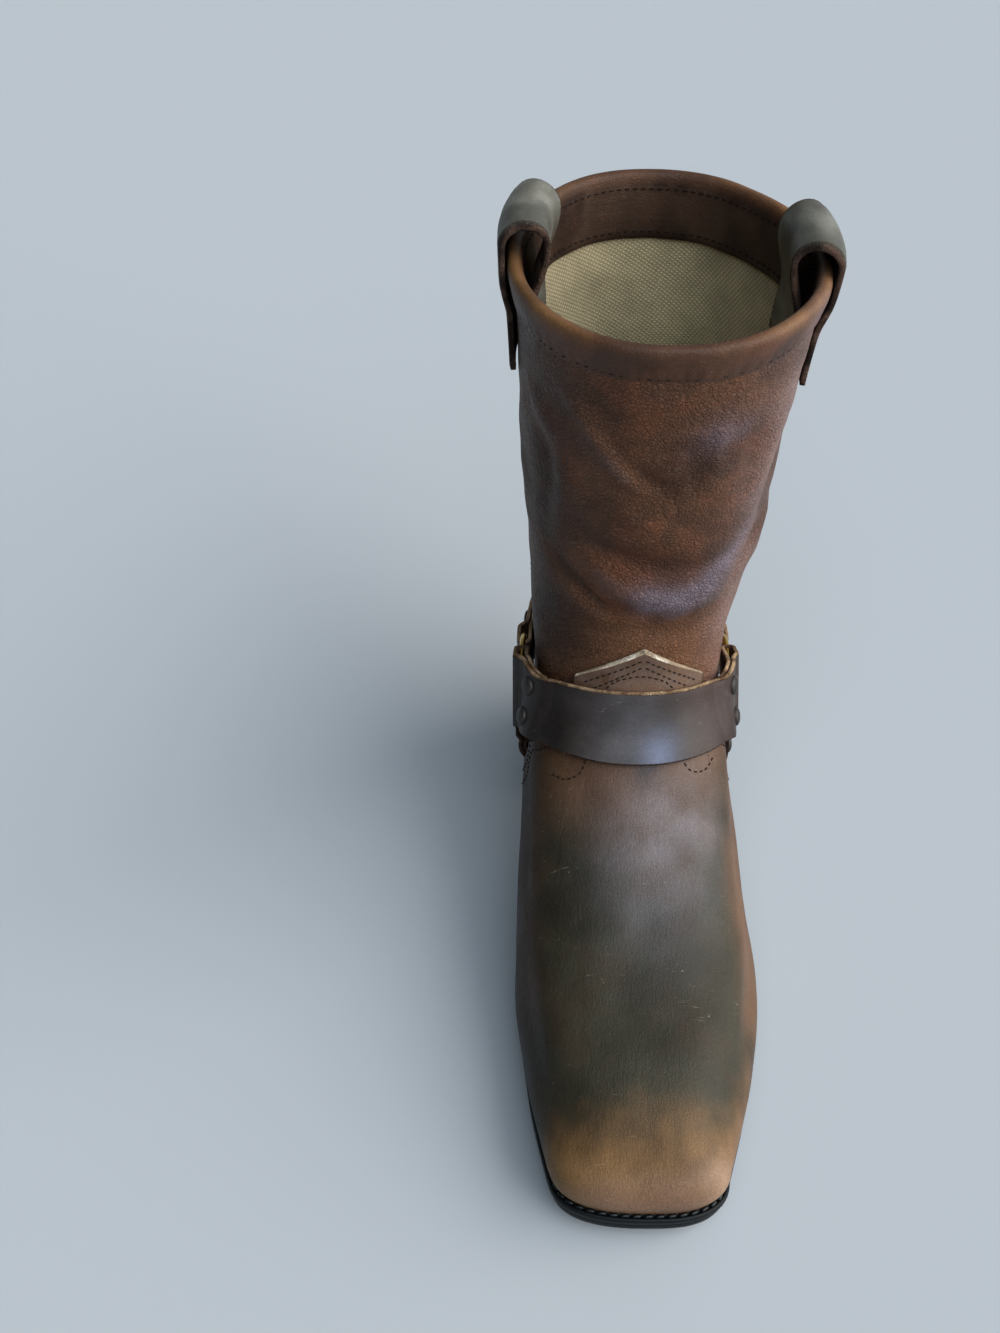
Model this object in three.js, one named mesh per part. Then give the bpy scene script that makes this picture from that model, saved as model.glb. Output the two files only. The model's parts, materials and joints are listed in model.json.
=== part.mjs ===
// A left harness boot: a square-toed, pull-on leather boot on a black rubber sole. Three straps meet at a
// brass ring on each side: one over the instep, one round the heel, and one down to the welt.
// Millimetres, +Z up, toe towards -Y, lateral side towards +X.
// The origin is on the floor, under the middle of the heel.
import * as THREE from "three";
import { mergeVertices } from "three/addons/utils/BufferGeometryUtils.js";

// Clear space between pieces that touch, and under the straps, the upper and the overlays, whose facets
// are longer.
const gap = 0.3;
const strapGap = 0.5;
const seatGap = 0.45;
const overlayGap = 0.48;

// Sizes of the sole.
const soleLength = 302;
const ballWidth = 103;
const heelHeight = 38;
const heelLength = 72;
const seatSlope = 0.04;
const toeSpring = 9;
const outsoleThickness = 6;
const outsoleLip = 1.4;
const outsoleRounding = 1.8;
const weltThickness = 3.6;
const toeReach = 5.4;
const waistReach = 4.2;
const liftThickness = 8;
const heelTaper = 4;
const breastHollow = 4;
const breastSlant = 3;
const insoleThickness = 3;

// Sizes of the leather body.
const wall = 2.4;
const overlayLeather = 1.7;
const instepRise = 128;
const heelRise = 78;
const shaftRise = 170;
const bindingLeather = 1.3;
const bindingOutside = 11;
const bindingInside = 26;
const seamWidth = 5;
const seamLeather = 1;

// Sizes of the harness.
const strapLeather = 1.9;
const instepStrapWidth = 28;
const heelStrapWidth = 24;
const soleStrapWidth = 23;
const ringRadius = 20.5;
const ringWire = 2.6;
const strapEnd = 37;
const rivetPlace = 30.5;
const rivetRadius = 4.3;
const rivetRise = 1.6;
const rivetSpacing = 14;
const ringClearance = 0.5;
const ringMargin = 2;
const restingEase = 5;
const layerEase = 4;
const foldSetBack = 0.8;

// Sizes of the pull straps.
const pullWidth = 38;
const pullLeather = 2.6;
const pullOutside = 45;
const pullInside = 40;
const pullRadius = 8.5;
const pullStand = 4;
const pullRimDepth = 12;

// The flat spot under the ball, from the back of the heel, as shares of the sole's length.
const flatFrom = 0.6;
const flatTo = 0.79;

// Places of the side seam, of the joint of vamp and counter and of the pull straps, as shares of the way
// round a loop from the toe.
const sideSeam = 0.31;
const counterSeam = 0.335;
const pullPlaces = { lateral: 0.25, medial: 0.28 };

// Place of the ring's centre: forward as a share of the sole's length, height as a share of the instep's rise.
const ringForward = 0.26 * soleLength;
const ringHeight = 0.63 * instepRise;

// Directions of the straps in the side view, in degrees from level and forward.
const instepStrapAngle = 30;
const heelStrapAngle = 172;
const soleStrapAngle = -80;

// How much the instep strap's line bows down towards the front.
const instepStrapBow = 0.0022;

// How finely the surfaces are cut into facets.
const upperRows = 20;
const upperColumns = 44;
const heelColumns = 32;
const acrossStrap = 3;
const sideSamples = 28;
const ringSamples = 12;
const foldBends = 5;
const pullBends = 8;
const pullOutsideRows = [1, 0.73, 0.42, 0.31, 0.13];
const pullInsideRows = [0.55, 0.775, 1];

const { clamp, lerp } = THREE.MathUtils;
const smooth = (from, to, value) => THREE.MathUtils.smoothstep(value, from, to);
const point = (x, forward, z) => new THREE.Vector3(x, heelLength / 2 - forward, z);
const forwardOf = (p) => heelLength / 2 - p.y;
const mix = (a, b, k) => a.clone().lerp(b, k);

// Height of the outsole's underside above the floor: the heel seat, the arch, the flat spot and the toe spring.
function soleRise(forward) {
  const flatStart = flatFrom * soleLength;
  const flatEnd = flatTo * soleLength;
  const seat = heelHeight + seatSlope * (heelLength / 2 - Math.min(forward, heelLength));
  if (forward < flatStart) return seat * (1 - smooth(heelLength, flatStart, forward));
  if (forward < flatEnd) return 0;
  return toeSpring * Math.pow((forward - flatEnd) / (soleLength - flatEnd), 1.7);
}
const soleStack = outsoleThickness + gap + weltThickness;
const soleTop = (forward) => soleRise(forward) + soleStack;

// Value at x of a smooth curve through the points (xs, ys), with its slopes taken from the neighbours.
function through(xs, ys, x) {
  const last = xs.length - 1;
  const at = clamp(x, xs[0], xs[last]);
  let i = 0;
  while (i < last - 1 && at > xs[i + 1]) i += 1;
  const slope = (k) => (k === 0 || k === last ? 0 : (ys[k + 1] - ys[k - 1]) / (xs[k + 1] - xs[k - 1]));
  const endSlope = (k) => (k === 0 ? (ys[1] - ys[0]) / (xs[1] - xs[0]) : (ys[last] - ys[last - 1]) / (xs[last] - xs[last - 1]));
  const slopeAt = (k) => (k === 0 || k === last ? endSlope(k) : slope(k));
  const span = xs[i + 1] - xs[i];
  const k = (at - xs[i]) / span;
  const a = 2 * k * k * k - 3 * k * k + 1;
  const b = k * k * k - 2 * k * k + k;
  const c = 3 * k * k - 2 * k * k * k;
  const d = k * k * k - k * k;
  return a * ys[i] + b * span * slopeAt(i) + c * ys[i + 1] + d * span * slopeAt(i + 1);
}

// Loops of the last from the sole's edge up to the throat of the ankle. Distances forward are shares of the
// sole's length. Heights are shares of the instep's rise in front and of the heel's rise behind. A loop's
// nose and tail are rounded over shares of its own length. Half widths are shares of half the ball's width,
// lateral and medial, at five places along the loop. Sag is how far a loop follows the sole's profile.
const footLoops = [
  {
    front: 0.981, up: 0, back: 0.017, backUp: 0, sag: 1, nose: [0.06, 2.6], tail: [0.13, 2.1],
    toe: [0.5, 0.69], vamp: [0.76, 0.84], ball: [0.86, 0.9], waist: [0.68, 0.6], heel: [0.6, 0.58],
  },
  {
    front: 0.99, up: 0.07, back: 0.006, backUp: 0.09, sag: 1, nose: [0.065, 2.6], tail: [0.14, 2.1],
    toe: [0.55, 0.75], vamp: [0.81, 0.9], ball: [0.94, 0.97], waist: [0.75, 0.72], heel: [0.66, 0.64],
  },
  {
    front: 0.981, up: 0.14, back: 0.002, backUp: 0.17, sag: 0.95, nose: [0.07, 2.5], tail: [0.14, 2.1],
    toe: [0.54, 0.74], vamp: [0.81, 0.9], ball: [0.94, 0.97], waist: [0.78, 0.8], heel: [0.68, 0.66],
  },
  {
    front: 0.943, up: 0.2, back: 0.002, backUp: 0.25, sag: 0.8, nose: [0.12, 2.5], tail: [0.15, 2.1],
    toe: [0.5, 0.67], vamp: [0.75, 0.85], ball: [0.89, 0.96], waist: [0.78, 0.85], heel: [0.68, 0.66],
  },
  {
    front: 0.86, up: 0.28, back: 0.004, backUp: 0.34, sag: 0.6, nose: [0.19, 2.6], tail: [0.16, 2.1],
    toe: [0.54, 0.66], vamp: [0.76, 0.84], ball: [0.84, 0.93], waist: [0.77, 0.86], heel: [0.67, 0.66],
  },
  {
    front: 0.735, up: 0.36, back: 0.008, backUp: 0.45, sag: 0.4, nose: [0.25, 2.5], tail: [0.18, 2.1],
    toe: [0.63, 0.68], vamp: [0.74, 0.83], ball: [0.78, 0.89], waist: [0.74, 0.85], heel: [0.67, 0.66],
  },
  {
    front: 0.595, up: 0.5, back: 0.016, backUp: 0.58, sag: 0.2, nose: [0.3, 2.4], tail: [0.22, 2.1],
    toe: [0.68, 0.72], vamp: [0.73, 0.83], ball: [0.73, 0.85], waist: [0.71, 0.82], heel: [0.66, 0.66],
  },
  {
    front: 0.44, up: 0.73, back: 0.028, backUp: 0.78, sag: 0.05, nose: [0.36, 2.3], tail: [0.28, 2.1],
    toe: [0.69, 0.74], vamp: [0.72, 0.81], ball: [0.72, 0.82], waist: [0.71, 0.81], heel: [0.68, 0.68],
  },
  {
    front: 0.385, up: 0.93, back: 0.042, backUp: 1, sag: 0, nose: [0.42, 2.2], tail: [0.36, 2.1],
    toe: [0.72, 0.78], vamp: [0.76, 0.85], ball: [0.78, 0.86], waist: [0.77, 0.85], heel: [0.72, 0.74],
  },
];

// Loops of the shaft. Heights are shares of its rise above the throat.
const shaftLoops = [
  {
    front: 0.378, up: 0.13, back: 0.045, nose: [0.45, 2.2], tail: [0.42, 2.15],
    toe: [0.82, 0.84], vamp: [0.85, 0.87], ball: [0.86, 0.88], waist: [0.85, 0.87], heel: [0.79, 0.78],
  },
  {
    front: 0.39, up: 0.35, back: 0.04, nose: [0.48, 2.2], tail: [0.47, 2.2],
    toe: [0.93, 0.88], vamp: [0.96, 0.92], ball: [0.97, 0.93], waist: [0.95, 0.92], heel: [0.88, 0.84],
  },
  {
    front: 0.415, up: 0.62, back: 0.027, nose: [0.5, 2.2], tail: [0.5, 2.2],
    toe: [1.0, 0.96], vamp: [1.04, 0.98], ball: [1.05, 0.99], waist: [1.03, 0.98], heel: [0.95, 0.92],
  },
  {
    front: 0.435, up: 0.84, back: 0.014, nose: [0.5, 2.2], tail: [0.5, 2.2],
    toe: [1.04, 0.99], vamp: [1.08, 1.02], ball: [1.1, 1.03], waist: [1.09, 1.02], heel: [1.0, 0.97],
  },
  {
    front: 0.447, up: 1, back: 0.007, nose: [0.5, 2.2], tail: [0.5, 2.2],
    toe: [1.1, 1.02], vamp: [1.14, 1.05], ball: [1.18, 1.07], waist: [1.17, 1.06], heel: [1.06, 1.0],
  },
];

// Brings a loop of either table to one row: front and back place and height, sag, roundings, half widths.
function loopRow(loop, frontHeight, backHeight) {
  const widths = [loop.toe, loop.vamp, loop.ball, loop.waist, loop.heel];
  return [
    loop.front * soleLength, frontHeight, loop.back * soleLength, backHeight, loop.sag ?? 0,
    ...loop.nose, ...loop.tail,
    ...widths.map((w) => (w[0] * ballWidth) / 2),
    ...widths.map((w) => (w[1] * ballWidth) / 2),
  ];
}
const footRows = footLoops.map((loop) => {
  const base = (forward, flat) => seatGap + lerp(flat, soleTop(forward * soleLength), loop.sag);
  const frontHeight = base(loop.front, soleStack) + loop.up * instepRise;
  return loopRow(loop, frontHeight, base(loop.back, soleTop(0)) + loop.backUp * heelRise);
});
const throat = footRows[footRows.length - 1];
const shaftRows = shaftLoops.map((loop) => {
  return loopRow(loop, throat[1] + loop.up * shaftRise, throat[3] + loop.up * shaftRise);
});
const rows = [...footRows, ...shaftRows];

// The rows' places along the boot: 0 at the sole's edge and 1 at the collar, by their mean spacing.
const places = rows.reduce((found, row, i) => {
  if (i === 0) return [0];
  const before = rows[i - 1];
  const inFront = Math.hypot(row[0] - before[0], row[1] - before[1]);
  const behind = Math.hypot(row[2] - before[2], row[3] - before[3]);
  return [...found, found[i - 1] + (inFront + behind) / 2];
}, []);
const bodyLength = places[places.length - 1];
const rowAt = (v) => rows[0].map((_, column) => through(places, rows.map((r) => r[column]), v * bodyLength));

// One side of a loop from the toe's middle to the heel's middle: points at even steps of angle, with lengths.
const widthPlaces = [0.05, 0.2, 0.36, 0.62, 0.88];
function loopSide(row, side) {
  const [front, frontHeight, back, backHeight, sag, noseShare, nosePower, tailShare, tailPower] = row;
  const widths = side > 0 ? row.slice(9, 14) : row.slice(14, 19);
  const outline = [];
  for (let i = 0; i <= sideSamples; i++) {
    const angle = ((i / sideSamples) * Math.PI) / 2;
    outline.push([noseShare * (1 - Math.pow(Math.cos(angle), 2 / nosePower)), Math.pow(Math.sin(angle), 2 / nosePower)]);
  }
  for (let i = 1; i < sideSamples; i++) outline.push([lerp(noseShare, 1 - tailShare, i / sideSamples), 1]);
  for (let i = sideSamples; i >= 0; i--) {
    const angle = ((i / sideSamples) * Math.PI) / 2;
    outline.push([1 - tailShare * (1 - Math.pow(Math.cos(angle), 2 / tailPower)), Math.pow(Math.sin(angle), 2 / tailPower)]);
  }
  const points = outline.map(([share, round]) => {
    const forward = lerp(front, back, share);
    const chord = lerp(soleTop(front), soleTop(back), share);
    const height = lerp(frontHeight, backHeight, share) + sag * (soleTop(forward) - chord);
    return point(side * round * through(widthPlaces, widths, share), forward, height);
  });
  const lengths = [0];
  for (let i = 1; i < points.length; i++) lengths.push(lengths[i - 1] + points[i].distanceTo(points[i - 1]));
  return { points, lengths };
}
const loopCache = new Map();
function loopAt(v) {
  const key = Math.round(v * 1e6);
  if (!loopCache.has(key)) {
    const row = rowAt(v);
    loopCache.set(key, { lateral: loopSide(row, 1), medial: loopSide(row, -1) });
  }
  return loopCache.get(key);
}

// Point of the upper's outside. v runs from the sole's edge at 0 to the collar at 1, and t runs round from
// the toe at 0 over the lateral side to the heel at 0.5 and back over the medial side.
function surface(v, t) {
  const turn = t - Math.floor(t);
  const loop = loopAt(clamp(v, 0, 1));
  const { points, lengths } = turn <= 0.5 ? loop.lateral : loop.medial;
  const wanted = (turn <= 0.5 ? 2 * turn : 2 - 2 * turn) * lengths[lengths.length - 1];
  let low = 0;
  let high = lengths.length - 1;
  while (high - low > 1) {
    const middle = (low + high) >> 1;
    if (lengths[middle] <= wanted) low = middle;
    else high = middle;
  }
  const share = (wanted - lengths[low]) / (lengths[high] - lengths[low]);
  return mix(points[low], points[high], clamp(share, 0, 1));
}
// Outward direction, level at the sole's edge so that each layer there stands on the welt.
function outward(v, t) {
  const step = 0.006;
  const along = surface(v + step, t).sub(surface(v - step, t));
  const round = surface(v, t + step).sub(surface(v, t - step));
  const facing = round.cross(along).normalize();
  facing.z *= smooth(0, 0.05, v);
  return facing.normalize();
}
const raised = (v, t, height) => surface(v, t).addScaledVector(outward(v, t), height);

// Steps round a loop that are closer together at the toe and the heel.
const crowding = 0.45;
const stepRound = (i, columns) => i / columns - (crowding * Math.sin((4 * Math.PI * i) / columns)) / (4 * Math.PI);

// The upper's facets: corners with their outward directions, in rows up the boot and columns round it.
const upperTurns = Array.from({ length: upperColumns }, (_, c) => stepRound(c, upperColumns));
const facetCorners = Array.from({ length: upperRows + 1 }, (_, r) => (
  upperTurns.map((t) => ({ place: surface(r / upperRows, t), facing: outward(r / upperRows, t) }))
));

// A facet corner moved out by a height. The lowest row follows the sole wherever it is moved to.
function facetCorner(row, column, height) {
  const { place, facing } = facetCorners[row][column % upperColumns];
  const moved = place.clone().addScaledVector(facing, height);
  if (row === 0) moved.z = soleTop(forwardOf(moved)) + seatGap;
  return moved;
}

// Point at a height over the upper's facets, so that layers with other corners stay clear of the facets.
function onFacets(v, t, height) {
  const turn = t - Math.floor(t);
  const next = upperTurns.findIndex((start) => start > turn + 1e-9);
  const column = (next < 0 ? upperColumns : next) - 1;
  const end = column + 1 < upperColumns ? upperTurns[column + 1] : 1;
  const across = clamp((turn - upperTurns[column]) / (end - upperTurns[column]), 0, 1);
  const row = Math.min(Math.floor(v * upperRows + 1e-9), upperRows - 1);
  const up = clamp(v * upperRows - row, 0, 1);
  const start = facetCorner(row, column, height);
  const opposite = facetCorner(row + 1, column + 1, height);
  const third = across >= up ? facetCorner(row, column + 1, height) : facetCorner(row + 1, column, height);
  const [first, second] = across >= up ? [across, up] : [up, across];
  return start.clone()
    .addScaledVector(third.clone().sub(start), first)
    .addScaledVector(opposite.sub(third), second);
}

// A closed solid from flat lists of corners and faces, with its faces turned to point out.
function solid(corners, faces) {
  const positions = faces.flat().flatMap((i) => corners[i].toArray());
  const geometry = new THREE.BufferGeometry();
  geometry.setAttribute("position", new THREE.Float32BufferAttribute(positions, 3));
  const merged = mergeVertices(geometry, 1e-4);
  const index = Array.from(merged.index.array);
  const place = (i) => new THREE.Vector3().fromBufferAttribute(merged.attributes.position, i);
  const kept = [];
  let volume = 0;
  for (let i = 0; i < index.length; i += 3) {
    const [a, b, c] = index.slice(i, i + 3);
    if (a === b || b === c || a === c) continue;
    kept.push([a, b, c]);
    volume += place(a).dot(place(b).cross(place(c)));
  }
  merged.setIndex(kept.flatMap(([a, b, c]) => (volume < 0 ? [a, c, b] : [a, b, c])));
  merged.computeVertexNormals();
  return merged;
}

// A closed solid from a turned or swept shape.
function closedUp(geometry) {
  const places = geometry.attributes.position;
  const corners = Array.from({ length: places.count }, (_, i) => new THREE.Vector3().fromBufferAttribute(places, i));
  const faces = [];
  for (let i = 0; i < geometry.index.count; i += 3) faces.push(Array.from(geometry.index.array.slice(i, i + 3)));
  return solid(corners, faces);
}

// A closed solid between two grids of points with the same rows and columns. A grid that closes round joins
// its last column to its first.
function between(outer, inner, closes) {
  const rowCount = outer.length;
  const columnCount = outer[0].length;
  const corners = [...outer.flat(), ...inner.flat()];
  const half = rowCount * columnCount;
  const at = (side, row, column) => side * half + row * columnCount + (column % columnCount);
  const faces = [];
  const quad = (a, b, c, d) => faces.push([a, b, c], [a, c, d]);
  const lastColumn = closes ? columnCount : columnCount - 1;
  for (let r = 0; r < rowCount - 1; r++) {
    for (let c = 0; c < lastColumn; c++) {
      quad(at(0, r, c), at(0, r, c + 1), at(0, r + 1, c + 1), at(0, r + 1, c));
      quad(at(1, r, c), at(1, r + 1, c), at(1, r + 1, c + 1), at(1, r, c + 1));
    }
    if (!closes) {
      quad(at(0, r, 0), at(0, r + 1, 0), at(1, r + 1, 0), at(1, r, 0));
      quad(at(0, r, lastColumn), at(1, r, lastColumn), at(1, r + 1, lastColumn), at(0, r + 1, lastColumn));
    }
  }
  for (let c = 0; c < lastColumn; c++) {
    const top = rowCount - 1;
    quad(at(0, 0, c), at(1, 0, c), at(1, 0, c + 1), at(0, 0, c + 1));
    quad(at(0, top, c), at(0, top, c + 1), at(1, top, c + 1), at(1, top, c));
  }
  return solid(corners, faces);
}

// A closed solid through a stack of closed rings, whose ends are closed by rungs from side to side.
function stacked(rings) {
  const columnCount = rings[0].length;
  const corners = rings.flat();
  const at = (ring, column) => ring * columnCount + (column % columnCount);
  const faces = [];
  const quad = (a, b, c, d) => faces.push([a, b, c], [a, c, d]);
  for (let r = 0; r < rings.length - 1; r++) {
    for (let c = 0; c < columnCount; c++) quad(at(r, c), at(r, c + 1), at(r + 1, c + 1), at(r + 1, c));
  }
  const top = rings.length - 1;
  for (let c = 0; c < columnCount / 2; c++) {
    const across = columnCount - c;
    quad(at(0, c), at(0, across), at(0, across - 1), at(0, c + 1));
    quad(at(top, c), at(top, c + 1), at(top, across - 1), at(top, across));
  }
  return solid(corners, faces);
}

// A strip of leather with the given thickness, centred on a grid of points.
function strip(grid, thickness) {
  const last = grid.length - 1;
  const side = grid[0].length - 1;
  const face = grid.map((line, r) => line.map((_, c) => {
    const along = grid[Math.min(r + 1, last)][c].clone().sub(grid[Math.max(r - 1, 0)][c]);
    const across = grid[r][Math.min(c + 1, side)].clone().sub(grid[r][Math.max(c - 1, 0)]);
    return along.cross(across).normalize();
  }));
  const shifted = (amount) => grid.map((line, r) => line.map((p, c) => p.clone().addScaledVector(face[r][c], amount)));
  return between(shifted(thickness / 2), shifted(-thickness / 2), false);
}

// Materials.
const leather = (colour, roughness) => new THREE.MeshStandardMaterial({ color: colour, roughness, metalness: 0 });
const shaftLeather = leather(0x5b3a2a, 0.55);
const vampLeather = leather(0x6b4a33, 0.55);
const strapFinish = leather(0x3b3230, 0.45);
const bindingFinish = leather(0x54392b, 0.6);
const insoleFinish = leather(0xa88a60, 0.8);
const blackRubber = leather(0x16181a, 0.6);
const brass = new THREE.MeshStandardMaterial({ color: 0xb79a4c, roughness: 0.3, metalness: 1 });
const darkMetal = new THREE.MeshStandardMaterial({ color: 0x33393c, roughness: 0.45, metalness: 1 });

const boot = new THREE.Group();
function add(name, geometry, material) {
  const mesh = new THREE.Mesh(geometry, material);
  mesh.name = name;
  boot.add(mesh);
  return mesh;
}

// The upper: one hollow wall from the sole's edge to the collar.
function upper() {
  const grid = (height) => facetCorners.map((row, r) => row.map((_, c) => facetCorner(r, c, height)));
  return between(grid(0), grid(-wall), true);
}

// The way up the surface at t where the height above the floor is z.
function wayUp(t, z) {
  let low = 0;
  let high = 1;
  for (let i = 0; i < 40; i++) {
    const middle = (low + high) / 2;
    if (surface(middle, t).z < z) low = middle;
    else high = middle;
  }
  return (low + high) / 2;
}

// The place on the surface at a distance round the front from the middle, at height z.
function placeFromFront(distance, z) {
  let t = 0;
  for (let i = 0; i < 12; i++) {
    const { lengths } = loopAt(wayUp(t, z)).lateral;
    t = distance / lengths[lengths.length - 1] / 2;
  }
  return [t, wayUp(t, z)];
}

// The place on one side of the surface that the side view shows at a distance forward and a height.
function placeOnSide(side, forward, z) {
  let low = 0;
  let high = 0.5;
  for (let i = 0; i < 40; i++) {
    const middle = (low + high) / 2;
    const t = side > 0 ? middle : 1 - middle;
    if (forwardOf(surface(wayUp(t, z), t)) > forward) low = middle;
    else high = middle;
  }
  const t = side > 0 ? low : 1 - low;
  return [t, wayUp(t, z)];
}

// The vamp's top edge: a peak in front over square corners, then back under the strap and down to the side
// seam. Distances and heights are shares of the instep's rise.
const cornerRound = 0.2;
const onInstep = (round, up) => placeFromFront(round * instepRise, soleStack + up * instepRise);
const onQuarter = (forward, up) => placeOnSide(1, forward * instepRise, soleStack + up * instepRise);
const seamUp = 0.34;
const vampEdge = [
  onInstep(0, 1.075),
  onInstep(cornerRound, 0.888),
  onInstep(cornerRound + 0.03, 0.763),
  onQuarter(0.86, 0.64),
  onQuarter(0.78, 0.44),
  [counterSeam, wayUp(counterSeam, soleStack + seamUp * instepRise)],
];
function vampTop(t) {
  const found = vampEdge.findIndex(([place]) => t <= place + 1e-9);
  const i = found < 1 ? (found === 0 ? 1 : vampEdge.length - 1) : found;
  const [t0, v0] = vampEdge[i - 1];
  const [t1, v1] = vampEdge[i];
  return lerp(v0, v1, clamp((t - t0) / (t1 - t0), 0, 1));
}

// A leather layer over the upper, from the sole's edge up to a height that depends on t.
function overlay(from, to, extraTurns, topOf) {
  const shared = [...upperTurns.map((t) => t - 1), ...upperTurns];
  const apart = (t) => extraTurns.every((extra) => Math.abs(extra - t) > 0.004);
  const inside = shared.filter((t) => t > from + 0.004 && t < to - 0.004 && apart(t));
  const turns = [from, ...inside, ...extraTurns, to].sort((a, b) => a - b);
  const rowCount = Math.ceil(upperRows * Math.max(...turns.map(topOf)));
  const grid = (height) => Array.from({ length: rowCount + 1 }, (_, r) => (
    turns.map((t) => onFacets(Math.min(r / upperRows, topOf(t)), t, height))
  ));
  return between(grid(overlayGap + overlayLeather), grid(overlayGap), false);
}
const seamGap = 0.001;
function vamp() {
  const corners = vampEdge.slice(1, 5).map(([t]) => t);
  corners.push(lerp(corners[3], counterSeam, 0.5));
  const end = counterSeam - seamGap;
  return overlay(-end, end, [...corners, ...corners.map((t) => -t)], (t) => vampTop(Math.abs(t)));
}

// The counter: the layer round the heel from side seam to side seam, with its top edge peaked behind.
const counterPeak = 0.38;
function counter() {
  const from = counterSeam + seamGap;
  const seamTop = vampEdge[vampEdge.length - 1][1];
  const peak = wayUp(0.5, soleTop(0) + heelRise * counterPeak);
  const topOf = (t) => lerp(peak, seamTop, Math.pow(Math.abs(t - 0.5) / (0.5 - from), 0.9));
  return overlay(from, 1 - from, [], topOf);
}

// The binding: a folded strip over the collar, with a long leg inside and a short leg outside.
const down = (depth) => 1 - depth / bodyLength;
function binding() {
  const up = new THREE.Vector3(0, 0, 1);
  const over = (t, height, offset) => onFacets(1, t, offset).addScaledVector(up, height);
  const outerLine = (t) => [
    ...[bindingOutside, 0].map((depth) => onFacets(down(depth), t, gap + bindingLeather)),
    over(t, gap + 0.9 * bindingLeather, -0.2 * wall),
    over(t, gap + 0.9 * bindingLeather, -0.8 * wall),
    ...[0, bindingInside].map((depth) => onFacets(down(depth), t, -wall - gap - bindingLeather)),
  ];
  const innerLine = (t) => [
    ...[bindingOutside, 0].map((depth) => onFacets(down(depth), t, gap)),
    over(t, gap, -0.2 * wall),
    over(t, gap, -0.8 * wall),
    ...[0, bindingInside].map((depth) => onFacets(down(depth), t, -wall - gap)),
  ];
  const turned = (line) => {
    const lines = upperTurns.map(line);
    return lines[0].map((_, r) => lines.map((points) => points[r]));
  };
  return between(turned(outerLine), turned(innerLine), true);
}

// The raised seam down one side, from the pull strap to the harness.
function seam(side) {
  const steps = 12;
  const top = down(pullOutside + 2);
  const centre = side > 0 ? sideSeam : 1 - sideSeam;
  const foot = wayUp(centre, ringHeight + soleStack + ringRadius + 9);
  const half = (v, t) => seamWidth / 2 / surface(v, t + 0.005).distanceTo(surface(v, t - 0.005)) / 100;
  const grid = (height) => Array.from({ length: steps + 1 }, (_, r) => {
    const v = lerp(foot, top, r / steps);
    const reach = half(v, centre);
    return [-1, 0, 1].map((share) => raised(v, centre + share * reach, height));
  });
  return between(grid(gap + seamLeather), grid(gap), false);
}

// The sole. Each layer follows the upper's lowest loop, moved outwards in plan by its own reach.
function solePoint(t, extra) {
  const along = surface(0, t + 0.004).sub(surface(0, t - 0.004));
  const facing = new THREE.Vector3(along.y, -along.x, 0).normalize();
  const p = surface(0, t);
  const reach = lerp(waistReach, toeReach, smooth(0.7 * soleLength, 0.92 * soleLength, forwardOf(p)));
  return p.addScaledVector(facing, extra === null ? 0 : reach + extra);
}
const insidePoint = (t, depth) => {
  const outside = solePoint(t, null);
  const further = solePoint(t, 0);
  const facing = further.clone().sub(outside).normalize();
  return outside.addScaledVector(facing, -depth);
};
const levelled = (p, rise) => new THREE.Vector3(p.x, p.y, soleRise(forwardOf(p)) + rise);
const soleRing = (extra, rise) => upperTurns.map((t) => levelled(solePoint(t, extra), rise));
const insideRing = (depth, rise) => upperTurns.map((t) => levelled(insidePoint(t, depth), rise));

function outsole() {
  return stacked([
    soleRing(-outsoleLip - outsoleRounding, 0),
    soleRing(-outsoleLip - 0.3 * outsoleRounding, 0.3 * outsoleRounding),
    soleRing(-outsoleLip, outsoleRounding),
    soleRing(-outsoleLip, outsoleThickness),
  ]);
}
const weltUnder = outsoleThickness + gap;
const weltInner = wall + 1;
function welt() {
  return between(
    [soleRing(0, weltUnder), soleRing(0, weltUnder + 0.8 * weltThickness), soleRing(-0.7, soleStack)],
    [insideRing(weltInner, weltUnder), insideRing(weltInner, weltUnder + 0.8 * weltThickness), insideRing(weltInner, soleStack)],
    true,
  );
}
function insole() {
  const edge = weltInner + gap;
  return stacked([insideRing(edge, weltUnder), insideRing(edge, soleStack), insideRing(edge, soleStack + insoleThickness)]);
}

// The heel: its outline is the outsole's round the back and a hollow breast in front. Share is 0 under the
// outsole and 1 on the floor, over which the heel tapers.
function heelRing(share, heightOf) {
  const front = heelLength - breastSlant * share;
  const extra = -outsoleLip - heelTaper * share;
  const cornerAt = (side) => {
    let low = 0;
    let high = 0.5;
    for (let i = 0; i < 40; i++) {
      const middle = (low + high) / 2;
      if (forwardOf(solePoint(side > 0 ? middle : 1 - middle, extra)) > front) low = middle;
      else high = middle;
    }
    return low;
  };
  const breastSteps = 5;
  const roundSteps = heelColumns / 2 - breastSteps;
  const half = (side) => {
    const start = cornerAt(side);
    const at = (k) => solePoint(side > 0 ? lerp(start, 0.5, k) : 1 - lerp(start, 0.5, k), extra);
    const corner = at(0);
    const points = [];
    for (let i = 0; i < breastSteps; i++) {
      const k = i / breastSteps;
      points.push(point(corner.x * k, front - breastHollow * (1 - k * k), 0));
    }
    for (let i = 0; i <= roundSteps; i++) points.push(at(i / roundSteps));
    return points;
  };
  const lateral = half(1);
  const medial = half(-1);
  const ring = [...lateral, ...medial.slice(1, -1).reverse()];
  return ring.map((p) => new THREE.Vector3(p.x, p.y, heightOf(forwardOf(p))));
}
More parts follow.
